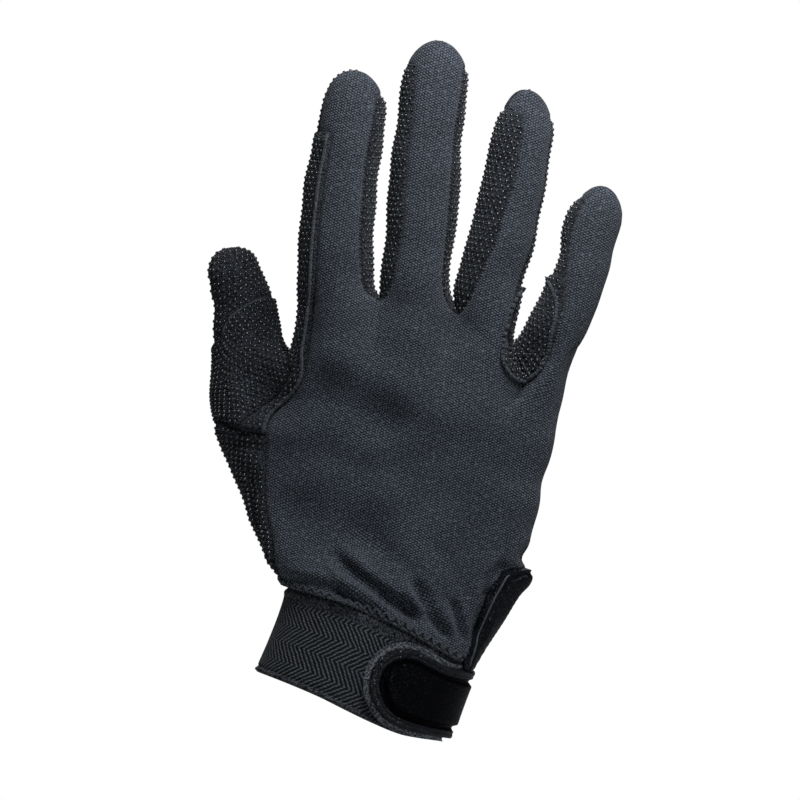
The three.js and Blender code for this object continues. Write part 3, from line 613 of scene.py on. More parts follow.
# %% The thumb's grid
def thumb_grid():
    """Each line of the thumb leaves the hole's edge at its own height, on the web side first outwards, and
    turns into the tube's line."""
    loop = round_hole(palm_grid)
    quarter = np.pi / 4 * np.array([-1, 1, 3, 5, 7])
    counts = [hole_wide, hole_high_steps, hole_wide, hole_high_steps]
    angle = np.concatenate([mix(quarter[i], quarter[i + 1], np.arange(n) / n) for i, n in enumerate(counts)])
    start = (loop - thumb_root) @ thumb_axis / thumb["length"]
    rows = finger_rows(tip_start["thumb"])[1:, None]
    at = mix(start, 1, rows)
    web = smooth(start / web_share)
    rise = (at - start) * thumb["length"] * mix(1, smooth(rows / rise_share), web)
    outwards = web_reach * web * smooth(rows / outward_share)
    from_hole = loop + rise[..., None] * thumb_axis + outwards[..., None] * web_out
    from_hole[..., 1] += thumb_rise * (at - start)
    rings = mix(from_hole, thumb_tube(at, angle), smooth(rows / join_share)[..., None])
    tip = thumb_root + thumb["length"] * thumb_axis
    tip[1] = thumb_tip_depth
    return np.concatenate([loop[None], rings]), tip


thumb_rings, thumb_tip = thumb_grid()
print("the thumb's grid:", thumb_rings.shape)

# %% [markdown]
# ## One skin, cut into panels
# All the grids are joined into one net of points and four-sided faces. Each face then gets the number of
# the panel it belongs to, from its row and column. A panel could also be modelled by itself and fitted to
# its neighbours, but panels cut from one net share their seam's points, and no gap can open.

# %% Helpers for the net
# a face's zone is 0 on the palm's tube, 1 to 4 on the fingers and 5 on the thumb
PALM_ZONE, THUMB_ZONE = 0, 5
point_groups, face_groups, zone_groups = [], [], []


def add_points(points):
    """Adds points to the net and returns their numbers in the same arrangement."""
    first = sum(len(group) for group in point_groups)
    point_groups.append(points.reshape(-1, 3))
    return first + np.arange(len(point_groups[-1])).reshape(points.shape[:-1])


def tube_faces(numbers):
    """Faces of a tube of rings without its ends: each joins two columns of two rings."""
    beside = np.roll(numbers, -1, axis=1)
    return np.stack([numbers[:-1], beside[:-1], beside[1:], numbers[1:]], axis=-1).reshape(-1, 4)


def add_tube(numbers, tip, zone):
    """Adds the faces of a tube, and those that join its last ring to its tip."""
    rows, columns = numbers.shape
    faces = tube_faces(numbers)
    where = np.indices((rows - 1, columns)).reshape(2, -1)
    if tip is not None:
        end = np.full(columns, add_points(tip[None])[0])
        beside = np.roll(numbers[-1], -1)
        faces = np.concatenate([faces, np.stack([numbers[-1], beside, end, end], axis=-1)])
        last = np.stack([np.full(columns, rows - 1), np.arange(columns)])
        where = np.concatenate([where, last], axis=1)
    face_groups.append(faces)
    zone_groups.append(np.stack([np.full(len(faces), zone), *where]))


print("net helpers ready")

# %% Joining the grids
palm_numbers = add_points(palm_grid)
add_tube(palm_numbers, None, PALM_ZONE)
web_numbers = []
for k, web in enumerate(webs):
    ends = palm_numbers[-1][[(k + 1) * face_steps, thumb_side - (k + 1) * face_steps]]
    web_numbers.append(np.concatenate([ends[:1], add_points(web[1:-1]), ends[1:]]))
finger_numbers = []
for i in range(4):
    base = base_of(i, palm_numbers[-1], web_numbers)
    finger_numbers.append(np.concatenate([base[None], add_points(finger_grids[i][1:])]))
    add_tube(finger_numbers[i], finger_tips[i], i + 1)
thumb_numbers = np.concatenate([round_hole(palm_numbers)[None], add_points(thumb_rings[1:])])
add_tube(thumb_numbers, thumb_tip, THUMB_ZONE)

skin_points = np.concatenate(point_groups)
skin_faces = np.concatenate(face_groups)
face_zone, face_row, face_column = np.concatenate(zone_groups, axis=1)
print("skin:", len(skin_points), "points,", len(skin_faces), "faces")

# %% Which panel each face belongs to
BACK, PALM, THUMB, OPEN = 0, 1, 5, -1
panel_of = np.where(face_column < front_start, BACK, PALM)
on_hand = face_zone == PALM_ZONE
arch_rise, arch_middle = 4.0, back_columns + side_steps / 2
off_middle = (face_column + 0.5 - arch_middle) / (side_steps / 2)
arch_top = slit_row - arch_rise + arch_rise * np.sqrt(np.maximum(0, 1 - off_middle**2))
in_vent = on_hand & (face_column >= back_columns) & (face_column < front_start)
panel_of[in_vent] = np.where(off_middle < 0, BACK, PALM)[in_vent]
panel_of[in_vent & (face_row + 0.5 < arch_top)] = OPEN
in_hole_rows = (face_row >= low_row) & (face_row < high_row)
panel_of[on_hand & in_hole_rows & (face_column >= hole_first) & (face_column < hole_last)] = OPEN
panel_of[face_zone == THUMB_ZONE] = THUMB
strip_end, band_end = 0.89, 54
on_right = (face_column >= finger_right) & (face_column < finger_front)
on_left = face_column >= finger_left
side_start = np.where(on_left, finger_left, finger_right)
near_back = (face_column < side_start + side_steps // 2) ^ on_left
by_half = np.where(near_back, BACK, PALM)
by_face = np.where(face_column < finger_right, BACK, PALM)
for i, name in enumerate(finger_names):
    mine = face_zone == i + 1
    strip_rows = int(np.searchsorted(finger_rows(tip_start[name]), strip_end))
    side_panel = np.where(on_right, 2 + i, 1 + i)
    if i == 0:
        side_panel = np.where(on_left, np.where(face_row >= band_end, by_half, PALM), side_panel)
    if i == 3:
        side_panel = np.where(on_right, BACK, side_panel)
    side_panel = np.where(face_row >= strip_rows, by_half, side_panel)
    panel_of[mine] = np.where(on_right | on_left, side_panel, by_face)[mine]
print("faces by panel:", dict(zip(*[a.tolist() for a in np.unique(panel_of, return_counts=True)])))


# %% Outward directions and seams
def unit(vectors):
    """Vectors at length 1."""
    return vectors / np.maximum(np.linalg.norm(vectors, axis=-1, keepdims=True), 1e-12)


def sum_at(numbers, values, count):
    """Adds up rows of values at their numbers."""
    return np.stack([np.bincount(numbers, values[:, k], count) for k in range(values.shape[1])], axis=-1)


def net_normals(points, faces):
    """A point's outward direction is the sum of those of its faces, which are their crossed diagonals."""
    a, b, c, d = (points[faces[:, k]] for k in range(4))
    normal = np.cross(c - a, d - b)
    return unit(sum(sum_at(faces[:, k], normal, len(points)) for k in range(4)))


closed = panel_of != OPEN
skin_normals = net_normals(skin_points, skin_faces[closed | in_vent])
lowest = np.full(len(skin_points), THUMB)
highest = np.full(len(skin_points), OPEN)
for k in range(4):
    np.minimum.at(lowest, skin_faces[:, k], panel_of)
    np.maximum.at(highest, skin_faces[:, k], panel_of)
seam_points = np.flatnonzero((lowest != highest) & (highest != THUMB))
strip_seams = np.flatnonzero((lowest == BACK) & (highest > PALM) & (highest < THUMB))


def nearest(points, targets):
    """Each point's distance to the nearest target, worked out for some thousand points at a time."""
    found = np.empty(len(points))
    for start in range(0, len(points), 4000):
        part = points[start:start + 4000].astype(np.float32)
        squares = (part**2).sum(1)[:, None] + (targets**2).sum(1) - 2 * part @ targets.T
        found[start:start + 4000] = np.sqrt(np.maximum(squares.min(axis=1), 0))
    return found


seam_distance = nearest(skin_points, skin_points[seam_points].astype(np.float32))
print("seam points:", len(seam_points), "- widest place:", round(float(seam_distance.max()), 1), "mm off")

# %% [markdown]
# ## Seams, folds and soft unevenness
# At a seam two cuts are sewn right sides together and turned, so both roll down into a narrow valley. The
# thread pulls a little at each stitch, which makes the valley pucker. The tab pulls the back's lower corner
# into folds, two broad folds cross the middle of the back, and narrow grooves run beside the thumb. Each is
# a valley with a raised lip on both sides, along a curve through a few places. Just above the wrist slit the
# knit is drawn in to a small waist. Cloth on a hand is never quite even either: wide, shallow waves give it
# broad, soft shades.

# %% Helpers for lines
def lengths_from(points, axis=0):
    """Distance in mm from a line's first place, or from a grid's first edge along its lines."""
    step = np.linalg.norm(np.diff(points, axis=axis), axis=-1)
    start = np.zeros_like(np.take(step, [0], axis=axis))
    return np.concatenate([start, np.cumsum(step, axis=axis)], axis=axis)


def curve(path, spacing):
    """A smooth line through a few places, given again at even spacing."""
    path = np.array(path, float)
    at = lengths_from(path)
    even = np.linspace(0, at[-1], int(at[-1] / spacing) + 2)
    rows = [sample({"at": at, "value": path[:, k]}, "value", even) for k in range(path.shape[1])]
    return np.stack(rows, axis=-1)


print("line helpers ready")

# %% Folds of the back
# depth and half width in mm, then places as x and z in mm
fold_lines = [
    (2.6, 1.7, [(20.5, 41), (25.5, 30.9), (29.2, 24.6), (32.7, 19.8)]),
    (2.2, 2.0, [(-7, 51.5), (0.9, 42.8), (10.3, 35.3), (22.9, 27.7), (29.2, 23.3)]),
    (1.7, 1.4, [(-6, 37.5), (4.7, 31.2), (14.1, 27.1)]),
    (1.5, 1.4, [(33, 34.6), (34.6, 27.1), (36.2, 20.2)]),
    (1.7, 1.7, [(45.3, 38.1), (41.8, 28.7), (39, 19.2)]),
    (1.5, 1.8, [(51.2, 45.4), (48.1, 43), (45.3, 39.4), (44, 33)]),
    (1.5, 2.0, [(-20.9, 40.2), (-5.4, 36.5), (10.3, 30.5)]),
    (1.3, 0.8, [(-42.5, 92), (-36.3, 87.9), (-31.2, 85.7), (-27, 86.5)]),
    (1.9, 6.0, [(-15, 102), (-2, 99), (10, 92), (20, 84)]),
    (2.6, 9.0, [(-26, 62), (-15, 57), (-2, 53), (17, 50)]),
    (1.2, 0.7, [(-29.2, 85), (-30.2, 78), (-30.2, 70), (-28.8, 58.6), (-26.8, 49), (-23.6, 40)]),
]
# a lip's height as a share of the fold's depth, then its place and reach in half widths
lip_height, lip_place, lip_reach = 0.45, 1.9, 0.9
fold_surround = 40


def fold_depth(points, normals):
    """Depth in mm of the folds at points that face the camera: a valley and lips beside it, faded at its ends
    and at the cuff's seam."""
    depth = np.zeros(len(points))
    for deep, wide, path in fold_lines:
        line = curve(path, 0.5)
        fade = np.minimum(np.linspace(0, 1, len(line)), np.linspace(1, 0, len(line)))
        beside = abs(points[:, [0, 2]] - line.mean(0)).max(1) < fold_surround
        near = np.flatnonzero(beside & (normals[:, 1] < 0))
        gap = np.linalg.norm(points[near][:, None, [0, 2]] - line, axis=-1)
        closest = gap.argmin(axis=1)
        off = gap[np.arange(len(near)), closest] / wide
        profile = bump(off, 0, 1) - lip_height * bump(off, lip_place, lip_reach)
        above = (points[near] - wrist_centre) @ wrist_up
        profile = profile * smooth((above + 1) / 6)
        depth[near] += deep * profile * smooth(fade[closest] * 5) * smooth(-normals[near, 1] * 3)
    return depth


print("folds:", len(fold_lines))

# %% The dressed skin
seam_valley, seam_reach, stitch_pitch = 0.8, 0.8, 2.4
wave_length, wave_height = 21, 0.32
waist_depth, waist_z, waist_reach = 2.7, 46.3, 3.0


def waves(points, length, height):
    """Soft unevenness: slanted sine waves of about this length, multiplied in pairs and added."""
    x, y, z = (points / length * 2 * np.pi).T
    first = np.sin(0.9 * x + 0.4 * z + 1.0) * np.sin(0.7 * z - 0.5 * x + 0.3 * y)
    second = np.sin(0.5 * x - 0.8 * z + 2.0) * np.sin(0.6 * y + 0.45 * z)
    return height * (first + 0.7 * second)


pucker = 0.75 + 0.25 * np.sin(2 * np.pi * (skin_points[:, 2] + 0.3 * skin_points[:, 0]) / stitch_pitch)
valley = seam_valley * pucker * bump(seam_distance, 0, seam_reach)
uneven = waves(skin_points, wave_length, wave_height) * smooth(seam_distance / 3)
folds = fold_depth(skin_points, skin_normals)
slit_side = smooth(skin_normals[:, 0] * 2 - 0.7) * (skin_points[:, 0] > 40)
waist = waist_depth * bump(skin_points[:, 2], waist_z, waist_reach) * slit_side
dressed = skin_points + skin_normals * (uneven - valley - folds - waist)[:, None]
print("deepest seam:", round(float(valley.max()), 2), "mm")

# %% [markdown]
# ## Finishes
# Every finish is worked out by nodes, so it stays sharp at any distance. A cloth's pattern follows the
# piece's own UV map, which is laid out in metres, so a stitch has its true size everywhere. Grain that has no
# direction reads Object coordinates, which are in metres too.

# %% Helpers for materials
def new_finish(name, roughness, sheen=0.0, specular=0.5):
    """A material with a Principled shader, and its node tree and shader."""
    made = bpy.data.materials.new(name)
    made.use_nodes = True
    tree = made.node_tree
    shader = tree.nodes["Principled BSDF"]
    shader.inputs["Roughness"].default_value = roughness
    shader.inputs["Specular IOR Level"].default_value = specular
    shader.inputs["Sheen Weight"].default_value = sheen
    shader.inputs["Sheen Roughness"].default_value = 0.5
    return made, tree, shader


def paint(tree, shader, factor, dark, light):
    """Gives a shader a colour between two, by a factor."""
    mixed = add(tree, "ShaderNodeMix", {0: factor, 6: (*dark, 1), 7: (*light, 1)}, data_type="RGBA")
    tree.links.new(mixed.outputs[2], shader.inputs["Base Color"])


def relief(tree, shader, height, distance):
    """Turns a height into bumps of that many metres."""
    bumps = add(tree, "ShaderNodeBump", {"Height": height, "Distance": distance})
    tree.links.new(bumps.outputs[0], shader.inputs["Normal"])


def noise(tree, vector, scale, detail=2.0):
    """Soft noise from 0 to 1, that many waves to a metre."""
    made = add(tree, "ShaderNodeTexNoise", {"Vector": vector, "Scale": scale, "Detail": detail})
    return made.outputs["Fac"]


def cells(tree, vector, scale, feature="F1"):
    """Distance to the nearest of many scattered places, or to the edge between two of them."""
    made = add(tree, "ShaderNodeTexVoronoi", {"Vector": vector, "Scale": scale}, feature=feature)
    return made.outputs["Distance"]


def own_place(tree):
    """Object coordinates, in metres."""
    return add(tree, "ShaderNodeTexCoord").outputs["Object"]


print("material helpers ready")

# %% Knit of the back
wale_pitch, course_pitch, knit_turn = 0.00088, 0.00086, math.radians(10)
knit, tree, shader = new_finish("charcoal_knit", 0.9, sheen=0.15, specular=0.2)
flat = add(tree, "ShaderNodeUVMap", uv_map="cut").outputs[0]
turned = add(tree, "ShaderNodeMapping", {"Vector": flat, "Rotation": (0, 0, knit_turn)})
loops = add(tree, "ShaderNodeSeparateXYZ", {0: turned.outputs[0]})
wobble = calc(tree, "MULTIPLY", calc(tree, "SUBTRACT", noise(tree, flat, 700.0), 0.5), 0.00045)
across = calc(tree, "MULTIPLY", calc(tree, "ADD", loops.outputs[0], wobble), math.pi / wale_pitch)
along = calc(tree, "MULTIPLY", calc(tree, "ADD", loops.outputs[1], wobble), 2 * math.pi / course_pitch)
wales = calc(tree, "COSINE", across)
lattice = calc(tree, "MULTIPLY", wales, calc(tree, "COSINE", along))
between = calc(tree, "MULTIPLY_ADD", calc(tree, "POWER", wales, 2.0), 0.7, 0.3)
knots = calc(tree, "POWER", calc(tree, "MULTIPLY_ADD", lattice, 0.5, 0.5), 1.3)
knots = calc(tree, "MULTIPLY", knots, between)
fuzz = noise(tree, flat, 2300.0, 3.0)
lint = calc(tree, "POWER", noise(tree, flat, 900.0, 4.0), 6.0)
patchy = noise(tree, flat, 60.0, 4.0)
tone = calc(tree, "MULTIPLY_ADD", knots, 0.95, calc(tree, "MULTIPLY_ADD", fuzz, 1.0, -0.52))
tone = calc(tree, "MULTIPLY", tone, calc(tree, "MULTIPLY_ADD", patchy, 1.0, 0.5))
tone = calc(tree, "MULTIPLY_ADD", lint, 4.0, calc(tree, "MAXIMUM", tone, 0.0))
paint(tree, shader, tone, (0.0005, 0.0008, 0.0015), (0.185, 0.208, 0.25))
relief(tree, shader, calc(tree, "ADD", knots, calc(tree, "MULTIPLY", fuzz, 0.5)), 0.0003)
print("knit's wales and courses in mm:", wale_pitch * 1000, course_pitch * 1000)

# %% Grip fabric and its dots
grip, tree, shader = new_finish("grip_fabric", 0.85, sheen=0.12, specular=0.25)
place = own_place(tree)
loops = calc(tree, "SUBTRACT", 1.0, calc(tree, "MULTIPLY", cells(tree, place, 1500.0), 1.7))
fuzz = noise(tree, place, 2300.0, 3.0)
patchy = noise(tree, place, 90.0, 3.0)
tone = calc(tree, "MULTIPLY_ADD", loops, 0.6, calc(tree, "MULTIPLY_ADD", fuzz, 0.9, -0.35))
tone = calc(tree, "MULTIPLY", calc(tree, "MAXIMUM", tone, 0.0), calc(tree, "MULTIPLY_ADD", patchy, 0.8, 0.6))
paint(tree, shader, tone, (0.0015, 0.002, 0.003), (0.098, 0.108, 0.135))
relief(tree, shader, loops, 0.0003)

dots_finish, tree, shader = new_finish("grip_dots", 0.24, specular=0.85)
shader.inputs["IOR"].default_value = 1.8
place = own_place(tree)
paint(tree, shader, noise(tree, place, 400.0), (0.0018, 0.002, 0.0025), (0.009, 0.010, 0.012))
relief(tree, shader, noise(tree, place, 3000.0), 0.00003)

thread, tree, shader = new_finish("overlock_thread", 0.75, sheen=0.2, specular=0.3)
twist = calc(tree, "MULTIPLY_ADD", noise(tree, own_place(tree), 2000.0, 3.0), 2.4, -0.75)
paint(tree, shader, twist, (0.002, 0.003, 0.004), (0.12, 0.133, 0.155))
relief(tree, shader, twist, 0.0002)
print("grip fabric, dots and thread ready")

# %% [markdown]
# ## Putting a piece into the scene
# A piece's points are worked out in millimetres and put into its mesh in metres, with the object itself
# at the origin. Solidify then gives the cloth its thickness on the inside. A piece can hide the solid it
# stands for, and a cloth piece's area is printed.

# %% Helper for pieces
def piece(name, points, faces, slot, finish, replaces=(), uv=None, wall=0.0):
    """A smooth mesh object from points in millimetres and faces of three or four corners."""
    used, corners = np.unique(faces, return_inverse=True)
    corners = corners.reshape(faces.shape)
    double = corners[:, 2] == corners[:, 3]
    sizes = np.where(double, 3, 4)
    flat_corners = corners[np.arange(4) < sizes[:, None]]
    mesh = bpy.data.meshes.new(name)
    mesh.vertices.add(len(used))
    mesh.vertices.foreach_set("co", (points[used] / 1000).ravel())
    mesh.loops.add(len(flat_corners))
    mesh.loops.foreach_set("vertex_index", flat_corners.astype(np.int32))
    mesh.polygons.add(len(sizes))
    mesh.polygons.foreach_set("loop_start", (np.cumsum(sizes) - sizes).astype(np.int32))
    mesh.polygons.foreach_set("use_smooth", np.ones(len(sizes), bool))
    if uv is not None:
        layer = mesh.uv_layers.new(name="cut")
        layer.data.foreach_set("uv", (uv[used][flat_corners] / 1000).ravel())
    mesh.update(calc_edges=True)
    mesh.validate()
    mesh.materials.append(finish)
    made = bpy.data.objects.new(name, mesh)
    bpy.context.collection.objects.link(made)
    if wall:
        solidify = made.modifiers.new("wall", "SOLIDIFY")
        solidify.thickness = wall / 1000
        solidify.offset = -1
    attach(made, "root")
    if replaces:
        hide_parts(*replaces)
    return made


def area_of(points, faces):
    """Area of four-sided faces in square metres: half of each one's crossed diagonals."""
    a, b, c, d = (points[faces[:, k]] for k in range(4))
    return float(np.linalg.norm(np.cross(c - a, d - b), axis=1).sum() / 2) / 1e6


def top_area(top, faces):
    """Area of a closed shell's upper half: its faces come first in the list."""
    return area_of(top.reshape(-1, 3), faces[:(top.shape[0] - 1) * (top.shape[1] - 1)])


def cut_cloth(made, area, width, length):
    """Prints a cloth piece's area in square centimetres; the width and length in metres are not used."""
    print(made.name, "cloth of", round(area * 1e4, 1), "square cm")


# %% The back's flat cut
def unroll(grid, lean, centre_column):
    """Flat places of a ring grid: from its centre column outwards each step keeps its length, and the part
    of it along the hand's lean stays along that lean."""
    lean = np.broadcast_to(lean, len(grid))[:, None]
    side = stack(np.cos(lean), 0, -np.sin(lean))
    axis = stack(np.sin(lean), 0, np.cos(lean))
    half = grid.shape[1] // 2
    rolled = np.roll(grid, half - centre_column, axis=1)
    step = np.diff(rolled, axis=1)
    along = (step * axis).sum(-1)
    wide = np.sqrt(np.maximum((step**2).sum(-1) - along**2, 0))
    flat_step = wide[..., None] * side + along[..., None] * axis
    sums = np.concatenate([np.zeros_like(rolled[:, :1]), np.cumsum(flat_step, axis=1)], axis=1)
    flat_place = sums - sums[:, half:half + 1] + rolled[:, half:half + 1]
    return np.roll(flat_place, centre_column - half, axis=1)[..., [0, 2]]


settle_rows = 25
skin_uv = np.zeros((len(skin_points), 2))
palm_flat = unroll(palm_grid, np.radians(sample(palm, "lean", palm_rows)), 2 * face_steps)
skin_uv[palm_numbers] = palm_flat
for i, name in enumerate(finger_names):
    grid = finger_grids[i]
    finger_flat = unroll(grid, math.radians(fingers[name]["lean"]), face_steps // 2)
    base_flat = skin_uv[finger_numbers[i][0]]
    shift = base_flat[face_steps // 2] - finger_flat[0, face_steps // 2]
    settle = smooth(np.arange(len(grid)) / settle_rows)[:, None, None]
    finger_flat += shift + (base_flat - finger_flat[0] - shift) * (1 - settle)
    skin_uv[finger_numbers[i][1:]] = finger_flat[1:]
print("back's flat width in mm:", round(float(np.ptp(palm_flat[60, :back_columns, 0])), 1))

# %% The panels
panels = [
    ("back_panel", BACK, "knit", knit, 0.2, 0.21),
    ("palm_panel", PALM, "grip_fabric", grip, 0.2, 0.21),
    ("side_strip_index_middle", 2, "grip_fabric", grip, 0.026, 0.15),
    ("side_strip_middle_ring", 3, "grip_fabric", grip, 0.026, 0.15),
    ("side_strip_ring_little", 4, "grip_fabric", grip, 0.026, 0.15),
    ("thumb_panel", THUMB, "grip_fabric", grip, 0.08, 0.08),
]
for name, number, slot, finish, width, length in panels:
    faces = skin_faces[panel_of == number]
    uv = skin_uv if number == BACK else None
    made = piece(name + "_cloth", dressed, faces, slot, finish, [name], uv, wall=1.0)
    cut_cloth(made, area_of(dressed, faces), width, length)

# %% [markdown]
# ## Patches of grip fabric
# Where the reins run, a second layer of grip fabric is sewn on: down the thumb side of the index finger,
# in the fork between ring and little finger, and round the thumb. Each patch is a grid of places on the
# skin, lifted off it. Its edge is turned under, so the lift falls to nothing in a quarter circle. Where an
# edge lies on the back, an overlocked cord runs along it.

# %% Reading places off a grid
def on_grid(grid, row, column):
    """Values of a grid at fractional rows and columns: each lies between its four neighbours."""
    row, column = np.broadcast_arrays(row, column)
    r = np.clip(row.astype(int), 0, grid.shape[0] - 2)
    c = np.clip(column.astype(int), 0, grid.shape[1] - 2)
    down, over = (row - r)[..., None], (column - c)[..., None]
    upper = mix(grid[r, c], grid[r, c + 1], over)
    return mix(upper, mix(grid[r + 1, c], grid[r + 1, c + 1], over), down)


def wrapped(numbers):
    """A closed ring grid with its first column again at its end."""
    return np.concatenate([numbers, numbers[:, :1]], axis=1)


def both(numbers):
    """Places and outward directions of a grid of point numbers, side by side."""
    return np.concatenate([dressed[numbers], skin_normals[numbers]], axis=-1)


index_ring, ring_ring, little_ring = (wrapped(finger_numbers[i]) for i in (0, 2, 3))
band_area = both(np.concatenate([
    wrapped(palm_numbers)[low_row:, thumb_side:],
    index_ring[1:, finger_left:],
]))
fork_area = both(np.concatenate([
    ring_ring[:0:-1, finger_front:finger_right - 1:-1],
    little_ring[:, finger_left:],
]))
thumb_area = both(wrapped(thumb_numbers))
print("areas for patches:", band_area.shape[:2], fork_area.shape[:2], thumb_area.shape[:2])


# %% Helpers for patches
def edge_distance(points, slopes=(1, 1, 1, 1)):
    """Distance in mm of a grid's points to its nearest edge, measured along both of its directions. A slope
    over 1 for the first row, last row, first column or last column shortens the distance to that edge."""
    down, over = lengths_from(points, 0), lengths_from(points, 1)
    reach = [down, down[-1:] - down, over, over[:, -1:] - over]
    return np.min([r / s for r, s in zip(reach, slopes)], axis=0)


def closed_shell(top, under):
    """Faces of a closed body between two grids of the same shape, given as one list of points."""
    rows, columns = top.shape[:2]
    numbers = np.arange(rows * columns).reshape(rows, columns)
    a, b, c, d = numbers[:-1, :-1], numbers[:-1, 1:], numbers[1:, 1:], numbers[1:, :-1]
    upper = np.stack([a, b, c, d], axis=-1).reshape(-1, 4)
    rim = np.concatenate([numbers[0, :], numbers[1:, -1], numbers[-1, -2::-1], numbers[-2::-1, 0]])
    low = rows * columns
    sides = np.stack([rim[1:], rim[:-1], rim[:-1] + low, rim[1:] + low], axis=-1)
    lower = upper[:, ::-1] + low
    return np.concatenate([top.reshape(-1, 3), under.reshape(-1, 3)]), np.concatenate([upper, sides, lower])


patch_lift, patch_edge, patch_rim, patch_sunk = 0.75, 0.8, 0.1, 0.25


def second_layer(name, skin, out, lift, sunk, replaces=()):
    """Grip fabric on the skin: a closed body whose top is lifted and whose underside is sunk in."""
    top = skin + out * lift[..., None]
    points, faces = closed_shell(top, skin - out * sunk)
    made = piece(name + "_cloth", points, faces, "grip_fabric", grip, replaces)
    width, length = (lengths_from(skin, axis).max() / 1000 for axis in (1, 0))
    cut_cloth(made, top_area(skin, faces), width, length)
    return top, out, edge_distance(skin)


def patch(name, area, row, column, slopes=(1, 1, 1, 1)):
    """A patch over the given places of an area of skin: lifted, and rounded at its edge."""
    place = on_grid(area, row, column)
    skin, out = place[..., :3], unit(place[..., 3:])
    lift = patch_lift * quarter_round(edge_distance(skin, slopes), patch_edge)
    return second_layer(name, skin, out, lift + patch_rim, patch_sunk, [name])


print("patches stand", patch_lift, "mm proud")

# %% Patches
along, over = np.linspace(0, 1, 150)[:, None], np.linspace(0, 1, 40)[None]
band_top_row = len(palm_rows) - low_row - 1 + band_end + 1
band_row = band_top_row * along
narrow = smooth((band_row - (high_row - low_row) + 4) / 12)
band_first = side_steps * mix(0.84, 0.3, narrow)
band = patch("index_patch", band_area, band_row, mix(band_first, side_steps - 0.02, over))

# rows that the fork patch reaches before and beyond the web
fork_before, fork_beyond = 12, 32
web_row = len(finger_numbers[2]) - 1
fork_row = mix(web_row - fork_before, web_row + fork_beyond, along)
fork = patch("fork_patch", fork_area, fork_row, mix(0.4, side_steps - 0.3, over))

sixteenth = (thumb_area.shape[1] - 1) / 16
sleeve_first, sleeve_last = 0.6 * sixteenth, 11.5 * sixteenth
sleeve_top = table("at row", [
    [0, 30], [5, 33], [10, 37], [15, 42.5], [20, 45.5], [28, 46], [36, 44], [43, 41], [60, 43],
])
thumb_column = mix(sleeve_first, sleeve_last, over)
thumb_row = mix(0.5, sample(sleeve_top, "row", thumb_column), along)
sleeve = patch("thumb_patch", thumb_area, thumb_row, thumb_column, (7, 1, 1, 1))

# %% [markdown]
# ## Grip dots
# Small rubber domes stand all over the grip fabric, in staggered rows. A bump map would give their shine but
# not the beaded outline that they make. Each dome is only a few faces, and one array of domes is
# placed at all lattice points at once.

# %% A dome
dot_pitch, dot_radius, dot_height, dot_sides = 2.05, 0.5, 0.4, 8
row_pitch = dot_pitch * 0.866
around = np.arange(dot_sides) * 2 * np.pi / dot_sides
ring = np.stack([np.cos(around), np.sin(around)], axis=-1)
dome_shape = np.concatenate([
    np.c_[ring * dot_radius, np.full(dot_sides, -0.1)],
    np.c_[ring * dot_radius * 0.95, np.full(dot_sides, dot_height * 0.4)],
    np.c_[ring * dot_radius * 0.6, np.full(dot_sides, dot_height * 0.85)],
    [[0, 0, dot_height]],
])
near, far = np.arange(dot_sides), (np.arange(dot_sides) + 1) % dot_sides
lower = np.stack([near, far, far + dot_sides, near + dot_sides], axis=-1)
top_dot = near * 0 + 3 * dot_sides
dome_faces = np.concatenate([
    lower,
    lower + dot_sides,
    np.stack([near + 2 * dot_sides, far + 2 * dot_sides, top_dot, top_dot], axis=-1),
])
print("a dome's points and faces:", len(dome_shape), len(dome_faces))


# %% Domes on a lattice
def lattice_on(area, margin=1.0):
    """Rows, columns and values of an area on a staggered lattice: its lines lie a row's pitch apart along
    the area's middle column, and the dots a pitch apart from the middle of each line."""
    down = lengths_from(area[..., :3])[:, area.shape[1] // 2]
    rows, columns = [], []
    for k in range(int(down[-1] / row_pitch) + 1):
        row = np.interp(k * row_pitch, down, np.arange(len(down)))
        over = lengths_from(on_grid(area, row, np.arange(area.shape[1]))[:, :3])
        count = int(over[-1] / dot_pitch) + 2
        at = over[len(over) // 2] + (np.arange(-count, count + 1) + 0.5 * (k % 2)) * dot_pitch
        at = at[(at > margin) & (at < over[-1] - margin)]
        columns.append(np.interp(at, over, np.arange(len(over))))
        rows.append(row + 0 * at)
    row, column = np.concatenate(rows), np.concatenate(columns)
    return row, column, on_grid(area, row, column)


def dots(name, places, size=1.0, slot="grip_fabric", finish=dots_finish):
    """One mesh of domes: each is the dome's shape turned to its place's outward direction."""
    middle, out = places[:, :3], unit(places[:, 3:])
    side = unit(np.cross(out, [0.3, 0.2, 1.0]))
    up = np.cross(out, side)
    shape = dome_shape * size
    turned = shape[:, 0, None] * side[:, None] + shape[:, 1, None] * up[:, None]
    points = middle[:, None] + turned + shape[:, 2, None] * out[:, None]
    faces = (dome_faces + len(shape) * np.arange(len(places))[:, None, None]).reshape(-1, 4)
    piece(name, points.reshape(-1, 3), faces, slot, finish)
    print(name, len(places), "dots")


def layer_dots(name, layer, rim):
    """Dots on a second layer, that many mm clear of its edge."""
    top, out, inside = layer
    found = lattice_on(np.concatenate([top, out, inside[..., None]], axis=-1))[2]
    dots(name, found[found[:, 6] > rim][:, :6])


print("dots lie", dot_pitch, "mm apart")

# %% Dots on the panels
dots("seam_stitches", both(strip_seams), 0.8, "knit", thread)

row, column, place = lattice_on(both(wrapped(palm_numbers)[:, front_start:]))
side_first = thumb_side - front_start
in_hole = (row > low_row - 0.5) & (row < high_row + 0.5) & (column > side_first + side_steps // 6)
under_band = (row >= low_row) & (column > side_first + side_steps * 0.3)
dots("palm_dots", place[~(in_hole | under_band)])

